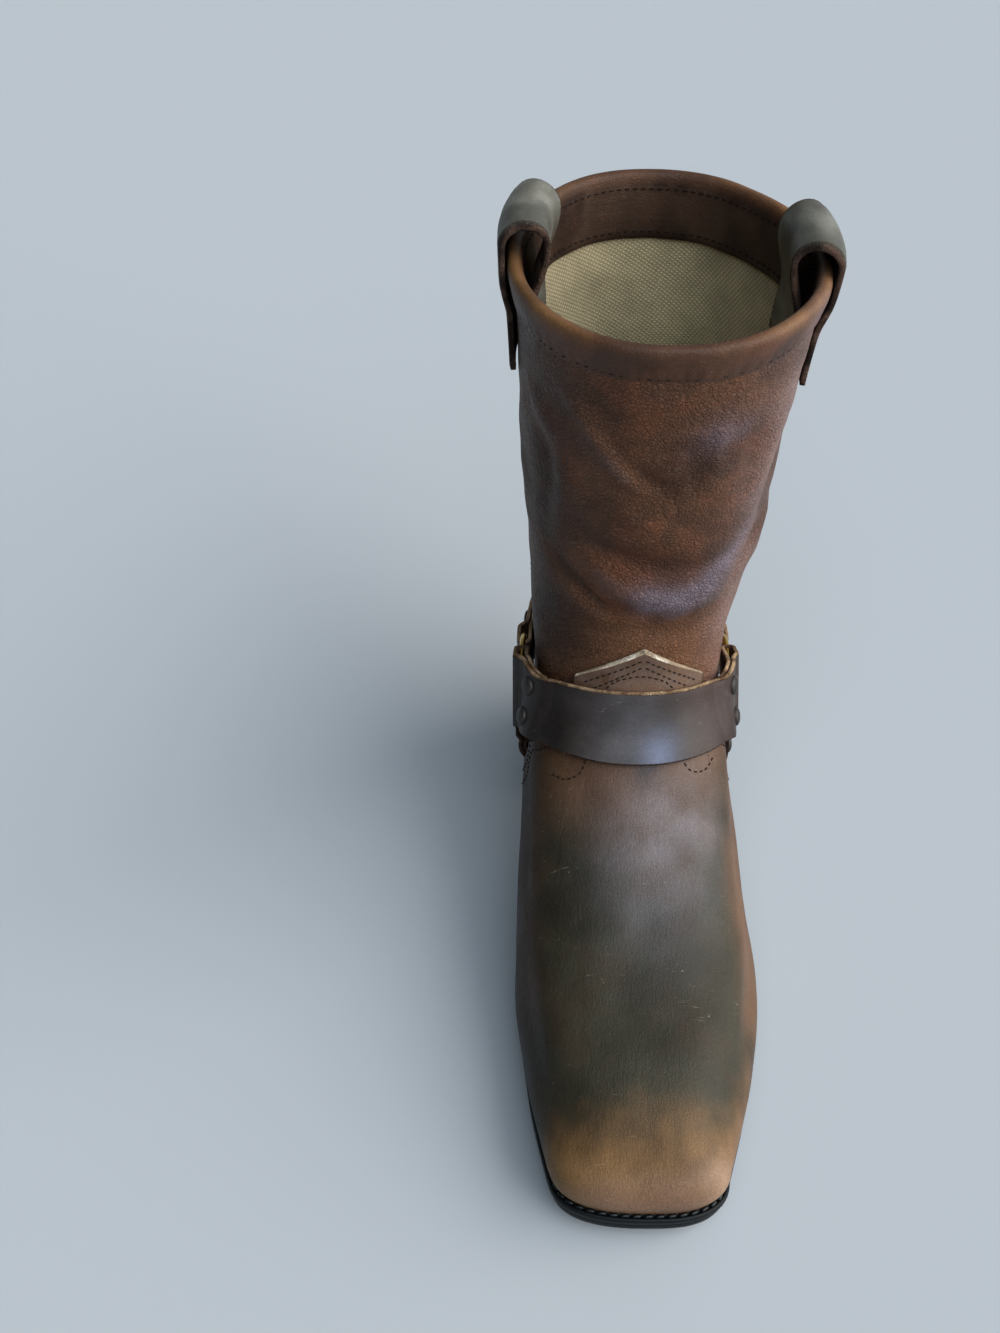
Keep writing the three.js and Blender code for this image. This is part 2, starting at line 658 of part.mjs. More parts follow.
function heelBase() {
  const under = (forward) => soleRise(forward) - gap;
  const foot = liftThickness + gap;
  const shareAt = foot / heelHeight;
  return stacked([heelRing(1 - shareAt, () => foot), heelRing(0.5, (f) => lerp(foot, under(f), 0.5 - shareAt / 2)), heelRing(0, under)]);
}
function heelLift() {
  return stacked([heelRing(1, () => 0), heelRing(1 - liftThickness / heelHeight, () => liftThickness)]);
}

// The harness. Each ring lies in a plane of its own that stands off the upper by the strap under it.
const radians = THREE.MathUtils.degToRad;
const ringStand = strapGap + strapLeather + gap + ringWire / 2;
const foldRadius = ringWire / 2 + gap + strapLeather / 2;
function ringFrame(side) {
  const height = soleStack + ringHeight;
  const sample = (forward, up) => surface(...placeOnSide(side, ringForward + forward, height + up).reverse());
  const reach = ringRadius + ringMargin;
  const level = sample(reach, 0).sub(sample(-reach, 0));
  const normal = sample(0, reach).sub(sample(0, -reach)).cross(level).normalize();
  if (normal.x * side < 0) normal.negate();
  const centre = sample(0, 0);
  const around = Array.from({ length: ringSamples }, (_, i) => radians((360 * i) / ringSamples));
  const samples = around.map((turn) => sample(reach * Math.cos(turn), reach * Math.sin(turn)));
  const highest = Math.max(0, ...samples.map((p) => p.sub(centre).dot(normal)));
  centre.addScaledVector(normal, highest + ringStand);
  return { side, normal, centre, forward: ringForward, height };
}
const frames = { lateral: ringFrame(1), medial: ringFrame(-1) };

// A leather layer of a strap, hugging what lies under it: layer 0 is the lower one and layer 1 lies on it.
// The share says how much of the vamp or the counter is under the strap there.
const layerStep = strapLeather + gap;
const overlayStep = overlayGap + overlayLeather;
function hugging(t, v, layer, share) {
  const normal = outward(v, t);
  const facet = Math.max(0, onFacets(v, t, 0).sub(surface(v, t)).dot(normal));
  return raised(v, t, facet + share * overlayStep + strapGap + strapLeather / 2 + layer * layerStep);
}

// Height of a strap's layer over the ring's plane at a distance out from the ring's centre.
const pastRing = ringRadius + ringWire / 2 + ringClearance;
const shareUnder = (angle, out) => (angle === heelStrapAngle ? 0 : smooth(pastRing, pastRing + restingEase, out));
function flatHeight(angle, out, layer) {
  const low = shareUnder(angle, out) * overlayStep - foldRadius;
  return layer === 0 ? low : lerp(foldRadius, low + layerStep, smooth(pastRing, pastRing + layerEase, out));
}
function inRingPlane(frame, p, height) {
  const distance = p.clone().sub(frame.centre).dot(frame.normal);
  return p.clone().addScaledVector(frame.normal, height - distance);
}

// The point of a strap's middle layer at a distance out from the ring's centre and a distance across.
const bowOf = (angle) => (angle === instepStrapAngle ? instepStrapBow : 0);
function strapPlace(frame, angle, out, across) {
  const turn = radians(angle);
  const forward = frame.forward + out * Math.cos(turn) - across * Math.sin(turn);
  const z = frame.height + out * Math.sin(turn) + across * Math.cos(turn) - bowOf(angle) * out * out;
  return [forward, z];
}
function strapPoint(frame, angle, out, across, layer) {
  const [forward, z] = strapPlace(frame, angle, out, across);
  const [t, v] = placeOnSide(frame.side, forward, Math.max(z, soleTop(forward) + seatGap));
  const flat = inRingPlane(frame, surface(v, t), flatHeight(angle, out, layer));
  return mix(flat, hugging(t, v, layer, shareUnder(angle, out)), smooth(pastRing, pastRing + layerEase, out));
}

// The fold of a strap round the ring, from the end of its under layer to the start of its upper layer.
function foldLines(frame, angle, halfWidth) {
  const ringEdge = Math.sqrt(ringRadius ** 2 - halfWidth ** 2);
  const foldCentre = ringEdge - foldSetBack;
  const columns = Array.from({ length: acrossStrap + 1 }, (_, j) => lerp(-halfWidth, halfWidth, j / acrossStrap));
  const line = (out, layer) => columns.map((across) => strapPoint(frame, angle, out, across, layer));
  const stops = [pastRing, rivetPlace - rivetRadius, rivetPlace + rivetRadius, strapEnd];
  const lines = [...stops].reverse().map((out) => line(out, 0));
  const under = line(foldCentre, 0);
  const over = line(foldCentre, 1);
  const turn = radians(angle);
  const middle = under.map((p, j) => mix(p, over[j], 0.5));
  const inwards = line(foldCentre - layerEase, 0).map((p, j) => p.sub(under[j]).normalize());
  for (let i = 0; i <= foldBends; i++) {
    const bend = (Math.PI * i) / foldBends;
    lines.push(middle.map((p, j) => p.clone()
      .addScaledVector(inwards[j], foldRadius * Math.sin(bend))
      .addScaledVector(frame.normal, -foldRadius * Math.cos(bend))));
  }
  stops.forEach((out) => lines.push(line(out, 1)));
  return lines;
}

// A strap from ring to ring, over the front at t = 0 or round the back at t = 0.5.
function longStrap(angle, width, overFront, stations) {
  const half = width / 2;
  const ends = [frames.lateral, frames.medial].map((frame) => foldLines(frame, angle, half));
  const turn = radians(angle);
  const offset = (p) => {
    const forward = forwardOf(p) - frames.lateral.forward;
    const height = p.z - frames.lateral.height;
    const out = forward * Math.cos(turn) + height * Math.sin(turn);
    return -forward * Math.sin(turn) + (height + bowOf(angle) * out * out) * Math.cos(turn);
  };
  const upwards = Math.cos(turn) > 0 ? 1 : -1;
  const vAt = (t, across) => {
    let low = 0;
    let high = 1;
    for (let i = 0; i < 40; i++) {
      const middle = (low + high) / 2;
      if (upwards * offset(surface(middle, t)) < upwards * across) low = middle;
      else high = middle;
    }
    return (low + high) / 2;
  };
  const startOf = (frame, across) => placeOnSide(frame.side, ...strapPlace(frame, angle, strapEnd, across))[0];
  const columns = Array.from({ length: acrossStrap + 1 }, (_, j) => lerp(-half, half, j / acrossStrap));
  const middleLines = [];
  for (let i = 1; i < stations; i++) {
    middleLines.push(columns.map((across) => {
      const from = startOf(frames.lateral, across);
      const to = startOf(frames.medial, across) - (overFront ? 1 : 0);
      const t = lerp(from, to, i / stations);
      const v = vAt(t, across);
      const wrapped = t < 0 ? t + 1 : t;
      const share = overFront ? 1 : 0;
      const settled = Math.min(1, Math.min(i, stations - i) / 2);
      return hugging(wrapped, v, 1 - settled, share);
    }));
  }
  const grid = [...ends[0], ...middleLines, ...ends[1].reverse()];
  return strip(grid, strapLeather);
}

// The strap from a ring down to the welt.
function soleStrap(frame) {
  const half = soleStrapWidth / 2;
  const lines = foldLines(frame, soleStrapAngle, half);
  const columns = Array.from({ length: acrossStrap + 1 }, (_, j) => lerp(-half, half, j / acrossStrap));
  const turn = radians(soleStrapAngle);
  const endOf = (across) => {
    let low = strapEnd;
    let high = strapEnd + 40;
    for (let i = 0; i < 40; i++) {
      const middle = (low + high) / 2;
      const forward = frame.forward + middle * Math.cos(turn) - across * Math.sin(turn);
      const z = frame.height + middle * Math.sin(turn) + across * Math.cos(turn);
      if (z > soleTop(forward) + 2 * gap) low = middle;
      else high = middle;
    }
    return low;
  };
  const steps = 4;
  for (let i = 1; i <= steps; i++) {
    const k = i / steps;
    lines.push(columns.map((across) => {
      const out = lerp(strapEnd, endOf(across), k);
      const [forward, z] = strapPlace(frame, soleStrapAngle, out, across);
      const [t, v] = placeOnSide(frame.side, forward, Math.max(z, soleTop(forward) + seatGap));
      return hugging(t, v, 1 - Math.min(1, 1.6 * k), 1);
    }));
  }
  return strip(lines, strapLeather);
}

function ring(frame) {
  const geometry = new THREE.TorusGeometry(ringRadius, ringWire / 2, 6, 24);
  const turned = new THREE.Quaternion().setFromUnitVectors(new THREE.Vector3(0, 0, 1), frame.normal);
  geometry.applyQuaternion(turned);
  geometry.translate(frame.centre.x, frame.centre.y, frame.centre.z);
  return closedUp(geometry);
}

// A domed rivet cap on the flat facet of a strap's upper layer.
function rivet(frame, angle, width, side) {
  const inner = width / 2 / acrossStrap;
  const reach = rivetSpacing - inner;
  const corner = (out, across) => strapPoint(frame, angle, out, side * across, 1);
  const [from, to] = [rivetPlace - rivetRadius, rivetPlace + rivetRadius];
  const corners = [corner(from, inner), corner(from, reach), corner(to, reach), corner(to, inner)];
  const diagonals = [corners[2].clone().sub(corners[0]), corners[3].clone().sub(corners[1])];
  const facing = diagonals[0].clone().cross(diagonals[1]).normalize();
  if (facing.dot(frame.normal) < 0) facing.negate();
  const middles = [mix(corners[0], corners[2], 0.5), mix(corners[1], corners[3], 0.5)];
  const twist = Math.abs(middles[0].clone().sub(middles[1]).dot(facing)) / 2;
  const profile = [[0, 0], [rivetRadius, 0], [rivetRadius, 0.35 * rivetRise], [0.7 * rivetRadius, 0.85 * rivetRise], [0, rivetRise]];
  const geometry = new THREE.LatheGeometry(profile.map(([x, y]) => new THREE.Vector2(x, y)), 10);
  geometry.applyQuaternion(new THREE.Quaternion().setFromUnitVectors(new THREE.Vector3(0, 1, 0), facing));
  const seat = mix(middles[0], middles[1], 0.5).addScaledVector(facing, strapLeather / 2 + gap + twist);
  geometry.translate(seat.x, seat.y, seat.z);
  return closedUp(geometry);
}

// A pull strap: up the outside of the collar, over in an open loop and down the inside.
function pullStrap(side) {
  const centre = side > 0 ? pullPlaces.lateral : 1 - pullPlaces.medial;
  const perTurn = surface(1, centre + 0.01).distanceTo(surface(1, centre - 0.01)) / 0.02;
  const columns = Array.from({ length: 5 }, (_, j) => centre + ((j / 4 - 0.5) * pullWidth) / perTurn);
  const outsideLift = 2 * gap + bindingLeather + pullLeather / 2;
  const insideLift = -wall - outsideLift;
  const lines = [];
  const onWall = (depth, lift) => columns.map((t) => raised(down(depth), t, lift));
  const uprights = columns.map((t) => surface(1, t).sub(surface(down(pullRimDepth), t)).normalize());
  const normals = columns.map((t, j) => {
    const n = outward(0.999, t);
    return n.addScaledVector(uprights[j], -n.dot(uprights[j])).normalize();
  });
  const inFrame = (lift, height) => columns.map((t, j) => surface(1, t)
    .addScaledVector(normals[j], lift)
    .addScaledVector(uprights[j], height));
  pullOutsideRows.forEach((share) => lines.push(onWall(share * pullOutside, outsideLift)));
  lines.push(inFrame(outsideLift, 0));
  for (let i = 0; i <= pullBends; i++) {
    const bend = (Math.PI * i) / pullBends;
    lines.push(inFrame(outsideLift - pullRadius * (1 - Math.cos(bend)), pullStand + pullRadius * Math.sin(bend)));
  }
  const loopEnd = outsideLift - 2 * pullRadius;
  lines.push(inFrame(lerp(loopEnd, insideLift, 0.12), -pullStand));
  lines.push(inFrame(lerp(loopEnd, insideLift, 0.5), -pullRimDepth));
  pullInsideRows.forEach((share) => lines.push(onWall(share * pullInside, insideLift)));
  return strip(lines, pullLeather);
}

add("upper", upper(), shaftLeather);
add("vamp", vamp(), vampLeather);
add("counter", counter(), vampLeather);
add("collar_binding", binding(), bindingFinish);
add("side_seam_lateral", seam(1), shaftLeather);
add("side_seam_medial", seam(-1), shaftLeather);
add("pull_strap_lateral", pullStrap(1), strapFinish);
add("pull_strap_medial", pullStrap(-1), strapFinish);

add("outsole", outsole(), blackRubber);
add("welt", welt(), blackRubber);
add("insole", insole(), insoleFinish);
add("heel_base", heelBase(), blackRubber);
add("heel_lift", heelLift(), blackRubber);

add("instep_strap", longStrap(instepStrapAngle, instepStrapWidth, true, 18), strapFinish);
add("heel_strap", longStrap(heelStrapAngle, heelStrapWidth, false, 14), strapFinish);
for (const [name, frame] of Object.entries(frames)) {
  add(`sole_strap_${name}`, soleStrap(frame), strapFinish);
  add(`ring_${name}`, ring(frame), brass);
  const ends = {
    instep: [instepStrapAngle, instepStrapWidth],
    heel: [heelStrapAngle, heelStrapWidth],
    sole: [soleStrapAngle, soleStrapWidth],
  };
  for (const [strap, [angle, width]] of Object.entries(ends)) {
    add(`rivet_${strap}_${name}_1`, rivet(frame, angle, width, 1), darkMetal);
    add(`rivet_${strap}_${name}_2`, rivet(frame, angle, width, -1), darkMetal);
  }
}

export default boot;
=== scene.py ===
import json
import math

import bpy
import numpy as np
from mathutils import Matrix, Vector

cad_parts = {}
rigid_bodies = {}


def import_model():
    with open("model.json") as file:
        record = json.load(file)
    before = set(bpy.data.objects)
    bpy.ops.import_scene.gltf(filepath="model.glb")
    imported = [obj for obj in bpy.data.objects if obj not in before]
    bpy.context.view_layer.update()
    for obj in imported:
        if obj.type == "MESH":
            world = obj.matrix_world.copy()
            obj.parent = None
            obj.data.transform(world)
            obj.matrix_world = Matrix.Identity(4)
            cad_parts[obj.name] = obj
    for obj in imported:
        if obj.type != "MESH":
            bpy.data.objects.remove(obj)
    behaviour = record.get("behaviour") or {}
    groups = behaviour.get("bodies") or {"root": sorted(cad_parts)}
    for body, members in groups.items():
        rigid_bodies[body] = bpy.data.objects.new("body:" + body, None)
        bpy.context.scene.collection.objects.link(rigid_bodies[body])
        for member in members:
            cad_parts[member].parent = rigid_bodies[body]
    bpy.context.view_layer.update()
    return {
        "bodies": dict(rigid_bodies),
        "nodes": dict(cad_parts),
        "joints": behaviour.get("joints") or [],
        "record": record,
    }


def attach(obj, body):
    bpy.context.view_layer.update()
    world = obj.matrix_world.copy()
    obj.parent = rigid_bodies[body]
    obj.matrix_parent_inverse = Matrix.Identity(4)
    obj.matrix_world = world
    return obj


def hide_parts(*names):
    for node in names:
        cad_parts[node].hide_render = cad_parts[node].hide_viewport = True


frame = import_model()

# Sizes in millimetres. The solids of the part have the same ones.
SOLE, BALL, HEEL, HEEL_LENGTH, SLOPE, TOE_SPRING = 302.0, 103.0, 38.0, 72.0, 0.04, 9.0
OUTSOLE, GAP, WELT, INSOLE = 6.0, 0.3, 3.6, 3.0
FLAT_FROM, FLAT_TO = 0.6, 0.79
INSTEP_RISE, HEEL_RISE, SHAFT_RISE = 128.0, 78.0, 170.0
WALL, OVERLAY_GAP, OVERLAY, SEAT = 2.4, 0.48, 1.7, 0.45
STACK = OUTSOLE + GAP + WELT
STRAP, RING_RADIUS, RING_WIRE, STRAP_END = 1.9, 20.5, 2.6, 37.0
RING_FORWARD, RING_HEIGHT = 0.26 * SOLE, 0.63 * INSTEP_RISE + STACK
RIVET_PLACE, RIVET_RADIUS, RIVET_RISE, RIVET_SPACING = 30.5, 4.3, 1.6, 14.0
ANGLES = {"instep": 30.0, "heel": 172.0, "sole": -80.0}
WIDTHS = {"instep": 28.0, "heel": 24.0, "sole": 23.0}
BOW = 0.0022
COLUMNS = 11
FLOOR_REACH = 40
GIRTH = 300.0


def floats(x):
    return np.asarray(x, float)


def smooth(low, high, x):
    k = np.clip((floats(x) - low) / (high - low), 0, 1)
    return k * k * (3 - 2 * k)


def lerp(a, b, k):
    return a + (b - a) * k


def bump(x, centre, width):
    return np.exp(-(((floats(x) - centre) / width) ** 2))


def sole_rise(forward):
    f = floats(forward)
    start, end = FLAT_FROM * SOLE, FLAT_TO * SOLE
    seat = HEEL + SLOPE * (HEEL_LENGTH / 2 - np.minimum(f, HEEL_LENGTH))
    toe = TOE_SPRING * (np.maximum(f - end, 0) / (SOLE - end)) ** 1.7
    return np.where(f < start, seat * (1 - smooth(HEEL_LENGTH, start, f)), np.where(f < end, 0, toe))


def sole_top(forward):
    return sole_rise(forward) + STACK


def through(xs, ys, x):
    """Values at x of the smooth curves through the points (xs, ys), one curve to a column of ys."""
    xs, ys = floats(xs), floats(ys)
    slopes = np.empty_like(ys)
    slopes[1:-1] = ((ys[2:] - ys[:-2]).T / (xs[2:] - xs[:-2])).T
    slopes[0], slopes[-1] = (ys[1] - ys[0]) / (xs[1] - xs[0]), (ys[-1] - ys[-2]) / (xs[-1] - xs[-2])
    x = np.clip(floats(x), xs[0], xs[-1])
    i = np.clip(np.searchsorted(xs, x, side="left") - 1, 0, len(xs) - 2)
    span = xs[i + 1] - xs[i]
    k = (x - xs[i]) / span
    if ys.ndim > 1:
        span, k = span[..., None], k[..., None]
    return ((2 * k**3 - 3 * k**2 + 1) * ys[i] + (k**3 - 2 * k**2 + k) * span * slopes[i]
            + (3 * k**2 - 2 * k**3) * ys[i + 1] + (k**3 - k**2) * span * slopes[i + 1])


def running(points):
    """The length along a line of points, up to each of them."""
    return np.concatenate([[0], np.cumsum(np.linalg.norm(np.diff(points, axis=0), axis=1))])


def at_lengths(at, lengths, points):
    return np.stack([np.interp(at, lengths, points[:, i]) for i in range(3)], -1)


def circle(count):
    return np.arange(count) * 2 * math.pi / count


# Loops of the last: front, up, back, back up, sag, nose, tail, and half widths lateral and medial.
FOOT = [
    (0.981, 0, 0.017, 0, 1, 0.06, 2.6, 0.13, 2.1,
     (0.5, 0.76, 0.86, 0.68, 0.6), (0.69, 0.84, 0.9, 0.6, 0.58)),
    (0.99, 0.07, 0.006, 0.09, 1, 0.065, 2.6, 0.14, 2.1,
     (0.55, 0.81, 0.94, 0.75, 0.66), (0.75, 0.9, 0.97, 0.72, 0.64)),
    (0.981, 0.14, 0.002, 0.17, 0.95, 0.07, 2.5, 0.14, 2.1,
     (0.54, 0.81, 0.94, 0.78, 0.68), (0.74, 0.9, 0.97, 0.8, 0.66)),
    (0.943, 0.2, 0.002, 0.25, 0.8, 0.12, 2.5, 0.15, 2.1,
     (0.5, 0.75, 0.89, 0.78, 0.68), (0.67, 0.85, 0.96, 0.85, 0.66)),
    (0.86, 0.28, 0.004, 0.34, 0.6, 0.19, 2.6, 0.16, 2.1,
     (0.54, 0.76, 0.84, 0.77, 0.67), (0.66, 0.84, 0.93, 0.86, 0.66)),
    (0.735, 0.36, 0.008, 0.45, 0.4, 0.25, 2.5, 0.18, 2.1,
     (0.63, 0.74, 0.78, 0.74, 0.67), (0.68, 0.83, 0.89, 0.85, 0.66)),
    (0.595, 0.5, 0.016, 0.58, 0.2, 0.3, 2.4, 0.22, 2.1,
     (0.68, 0.73, 0.73, 0.71, 0.66), (0.72, 0.83, 0.85, 0.82, 0.66)),
    (0.44, 0.73, 0.028, 0.78, 0.05, 0.36, 2.3, 0.28, 2.1,
     (0.69, 0.72, 0.72, 0.71, 0.68), (0.74, 0.81, 0.82, 0.81, 0.68)),
    (0.385, 0.93, 0.042, 1, 0, 0.42, 2.2, 0.36, 2.1,
     (0.72, 0.76, 0.78, 0.77, 0.72), (0.78, 0.85, 0.86, 0.85, 0.74)),
]
SHAFT = [
    (0.378, 0.13, 0.045, 0.45, 2.2, 0.42, 2.15,
     (0.82, 0.85, 0.86, 0.85, 0.79), (0.84, 0.87, 0.88, 0.87, 0.78)),
    (0.39, 0.35, 0.04, 0.48, 2.2, 0.47, 2.2, (0.93, 0.96, 0.97, 0.95, 0.88), (0.88, 0.92, 0.93, 0.92, 0.84)),
    (0.415, 0.62, 0.027, 0.5, 2.2, 0.5, 2.2, (1.0, 1.04, 1.05, 1.03, 0.95), (0.96, 0.98, 0.99, 0.98, 0.92)),
    (0.435, 0.84, 0.014, 0.5, 2.2, 0.5, 2.2, (1.04, 1.08, 1.1, 1.09, 1.0), (0.99, 1.02, 1.03, 1.02, 0.97)),
    (0.447, 1, 0.007, 0.5, 2.2, 0.5, 2.2, (1.1, 1.14, 1.18, 1.17, 1.06), (1.02, 1.05, 1.07, 1.06, 1.0)),
]


def loop_rows():
    rows = []

    def add(front, back, powers, widths):
        halves = [w * BALL / 2 for w in widths]
        rows.append([front[0] * SOLE, front[1], back[0] * SOLE, back[1], *powers, *halves])
    for front, up, back, back_up, sag, *powers, lateral, medial in FOOT:
        def base(share, flat):
            return SEAT + lerp(flat, sole_top(share * SOLE), sag)
        heights = base(front, STACK) + up * INSTEP_RISE, base(back, sole_top(0)) + back_up * HEEL_RISE
        add((front, heights[0]), (back, heights[1]), (sag, *powers), lateral + medial)
    throat = rows[-1]
    for front, up, back, *powers, lateral, medial in SHAFT:
        rise = up * SHAFT_RISE
        add((front, throat[1] + rise), (back, throat[3] + rise), (0, *powers), lateral + medial)
    return np.array(rows, float)


ROWS = loop_rows()
FRONT_STEPS = np.hypot(np.diff(ROWS[:, 0]), np.diff(ROWS[:, 1]))
STEPS = (FRONT_STEPS + np.hypot(np.diff(ROWS[:, 2]), np.diff(ROWS[:, 3]))) / 2
PLACES = np.concatenate([[0], np.cumsum(STEPS)])
BODY = PLACES[-1]
NV, NT = 520, 720


def loop_side(row, side, n=60):
    front, front_z, back, back_z, sag, nose, nose_power, tail, tail_power = row[:9]
    widths = row[9:14] if side > 0 else row[14:19]
    angle = np.linspace(0, math.pi / 2, n + 1)
    c, s = np.clip(np.cos(angle), 0, 1), np.sin(angle)
    middle = np.arange(1, n) / n
    share = np.concatenate([nose * (1 - c ** (2 / nose_power)), lerp(nose, 1 - tail, middle),
                            (1 - tail * (1 - c ** (2 / tail_power)))[::-1]])
    rounding = np.concatenate([s ** (2 / nose_power), np.ones(n - 1), (s ** (2 / tail_power))[::-1]])
    forward = lerp(front, back, share)
    chord = lerp(sole_top(front), sole_top(back), share)
    z = lerp(front_z, back_z, share) + sag * (sole_top(forward) - chord)
    x = side * rounding * through([0.05, 0.2, 0.36, 0.62, 0.88], widths, share)
    points = np.stack([x, HEEL_LENGTH / 2 - forward, z], -1)
    lengths = running(points)
    return at_lengths(np.linspace(0, lengths[-1], NT // 2 + 1), lengths, points)


def body_grid():
    grid = np.empty((NV + 1, NT + 1, 3))
    for i, row in enumerate(through(PLACES, ROWS, np.linspace(0, BODY, NV + 1))):
        grid[i, : NT // 2 + 1] = loop_side(row, 1)
        grid[i, NT // 2:] = loop_side(row, -1)[::-1]
    return grid


GRID = body_grid()


def surf(v, t):
    """Points of the upper's outside: v from the sole's edge to the collar, t round from the toe."""
    v, t = np.broadcast_arrays(np.clip(floats(v), 0, 1) * NV, (floats(t) % 1) * NT)
    i, j = np.minimum(v.astype(int), NV - 1), np.minimum(t.astype(int), NT - 1)
    a, b = (v - i)[..., None], (t - j)[..., None]
    return (GRID[i, j] * (1 - a) * (1 - b) + GRID[i, j + 1] * (1 - a) * b
            + GRID[i + 1, j] * a * (1 - b) + GRID[i + 1, j + 1] * a * b)


def unit(p):
    return p / np.maximum(np.linalg.norm(p, axis=-1, keepdims=True), 1e-12)


def outward(v, t):
    v, t = np.broadcast_arrays(floats(v), floats(t))
    step = 0.006
    facing = unit(np.cross(surf(v, t + step) - surf(v, t - step), surf(v + step, t) - surf(v - step, t)))
    facing[..., 2] *= smooth(0, 0.05, v)
    return unit(facing)


def raised(v, t, height):
    return surf(v, t) + outward(v, t) * floats(height)[..., None]


def forward_of(p):
    return HEEL_LENGTH / 2 - p[..., 1]


def bisect(low, high, test, steps=34):
    """The place where test stops being true between the arrays low and high."""
    for _ in range(steps):
        middle = (low + high) / 2
        yes = test(middle)
        low, high = np.where(yes, middle, low), np.where(yes, high, middle)
    return (low + high) / 2


def way_up(t, z):
    t, z = np.broadcast_arrays(floats(t), floats(z))
    return bisect(np.zeros(t.shape), np.ones(t.shape), lambda v: surf(v, t)[..., 2] < z)


def place_on_side(side, forward, z):
    """The place (v, t) on one side that the side view shows at a distance forward and a height."""
    forward, z = np.broadcast_arrays(floats(forward), floats(z))
    js = np.arange(6, NT // 2 - 5, 6) + (0 if side > 0 else NT // 2)
    coarse = GRID[::10, js]
    flat = np.stack([forward_of(coarse).ravel(), coarse[..., 2].ravel()], -1)
    wanted = np.stack([forward.ravel(), z.ravel()], -1)
    nearest = ((wanted[:, None] - flat[None]) ** 2).sum(-1).argmin(1)
    v = (nearest // len(js)) * 10 / NV
    t = js[nearest % len(js)] / NT
    low, high = (0.004, 0.496) if side > 0 else (0.504, 0.996)
    for _ in range(9):
        here = surf(v, t)
        dv = surf(v + 0.003, t) - surf(v - 0.003, t)
        dv /= (np.clip(v + 0.003, 0, 1) - np.clip(v - 0.003, 0, 1))[:, None]
        dt = (surf(v, t + 0.002) - surf(v, t - 0.002)) / 0.004
        a, b, c, d = -dv[:, 1], -dt[:, 1], dv[:, 2], dt[:, 2]
        e, f = wanted[:, 0] - forward_of(here), wanted[:, 1] - here[:, 2]
        det = a * d - b * c
        det = np.where(np.abs(det) < 1, np.sign(det) + (det == 0), det)
        v = np.clip(v + np.clip((e * d - b * f) / det, -0.1, 0.1), 0, 1)
        t = np.clip(t + np.clip((a * f - c * e) / det, -0.05, 0.05), low, high)
    return v.reshape(forward.shape), t.reshape(forward.shape)


# Meshes. A part of a piece is a list of corners in millimetres, quads, places in the plane and paint.
def quads_of(n, m, wrap=False):
    r, c = np.arange(n - 1)[:, None], np.arange(m if wrap else m - 1)[None]
    beside = (c + 1) % m
    quads = [r * m + c, r * m + beside, (r + 1) * m + beside, (r + 1) * m + c]
    return np.stack(quads, -1).reshape(-1, 4)


def sheet_part(points, uv, paint, wrap=False, flip=False):
    quads = quads_of(*points.shape[:2], wrap)
    paint = np.broadcast_to(paint, points.shape)
    return points.reshape(-1, 3), quads[:, ::-1] if flip else quads, uv.reshape(-1, 2), paint.reshape(-1, 3)


def build(name, parts, material, replaces=(), second=None):
    corners = np.concatenate([p[0] for p in parts]) * 0.001
    starts = np.cumsum([0] + [len(p[0]) for p in parts[:-1]])
    quads = np.concatenate([p[1] + s for p, s in zip(parts, starts)])
    mesh = bpy.data.meshes.new(name)
    mesh.from_pydata(corners, [], quads.tolist())
    index = np.empty(len(mesh.loops), np.int32)
    mesh.loops.foreach_get("vertex_index", index)
    uv = np.concatenate([p[2] for p in parts]) * 0.001
    mesh.uv_layers.new(name="UVMap").data.foreach_set("uv", uv[index].astype(np.float32).ravel())
    paint = np.concatenate([p[3] for p in parts])
    paint = np.concatenate([paint, np.ones((len(paint), 1))], 1)
    colours = mesh.color_attributes.new("paint", "FLOAT_COLOR", "POINT")
    colours.data.foreach_set("color", paint.astype(np.float32).ravel())
    mesh.polygons.foreach_set("use_smooth", np.full(len(mesh.polygons), True))
    mesh.materials.append(material)
    if second:
        mesh.materials.append(second)
        kinds = [p[4] if len(p) > 4 else np.zeros(len(p[1]), int) for p in parts]
        mesh.polygons.foreach_set("material_index", np.concatenate(kinds).astype(np.int32))
    mesh.update()
    obj = bpy.data.objects.new(name, mesh)
    bpy.context.collection.objects.link(obj)
    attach(obj, "root")
    if replaces:
        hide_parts(*replaces)
    return obj


def rgb(r, g, b):
    """Linear colour from screen values of 0 to 255."""
    c = np.array([r, g, b], float) / 255
    return np.where(c <= 0.04045, c / 12.92, ((c + 0.055) / 1.055) ** 2.4)


def mixed(a, b, k):
    return a + (b - a) * floats(k)[..., None]


def value_noise(p, scale, seed):
    """Smooth noise from -1 to 1 over points in millimetres, with lumps of the given size."""
    q = floats(p) / scale + 31.7 * seed
    i = np.floor(q).astype(np.int64)
    f = q - i
    f = f * f * (3 - 2 * f)
    total = 0.0
    corner = (73856093, 19349663, 83492791)
    for step in np.ndindex(2, 2, 2):
        h = seed * 2654435
        for axis in range(3):
            h = h ^ (i[..., axis] + step[axis]) * corner[axis]
        h = (h ^ (h >> 13)) * 1274126177 & 0x7FFFFFFF
        h = (h ^ (h >> 16)) & 0xFFFF
        weight = 1.0
        for axis in range(3):
            weight = weight * (f[..., axis] if step[axis] else 1 - f[..., axis])
        total = total + weight * (h / 32767.5 - 1)
    return total


# Materials.
COLOUR, ROUGH, SHINE, NORMAL = "Base Color", "Roughness", "Specular IOR Level", "Normal"


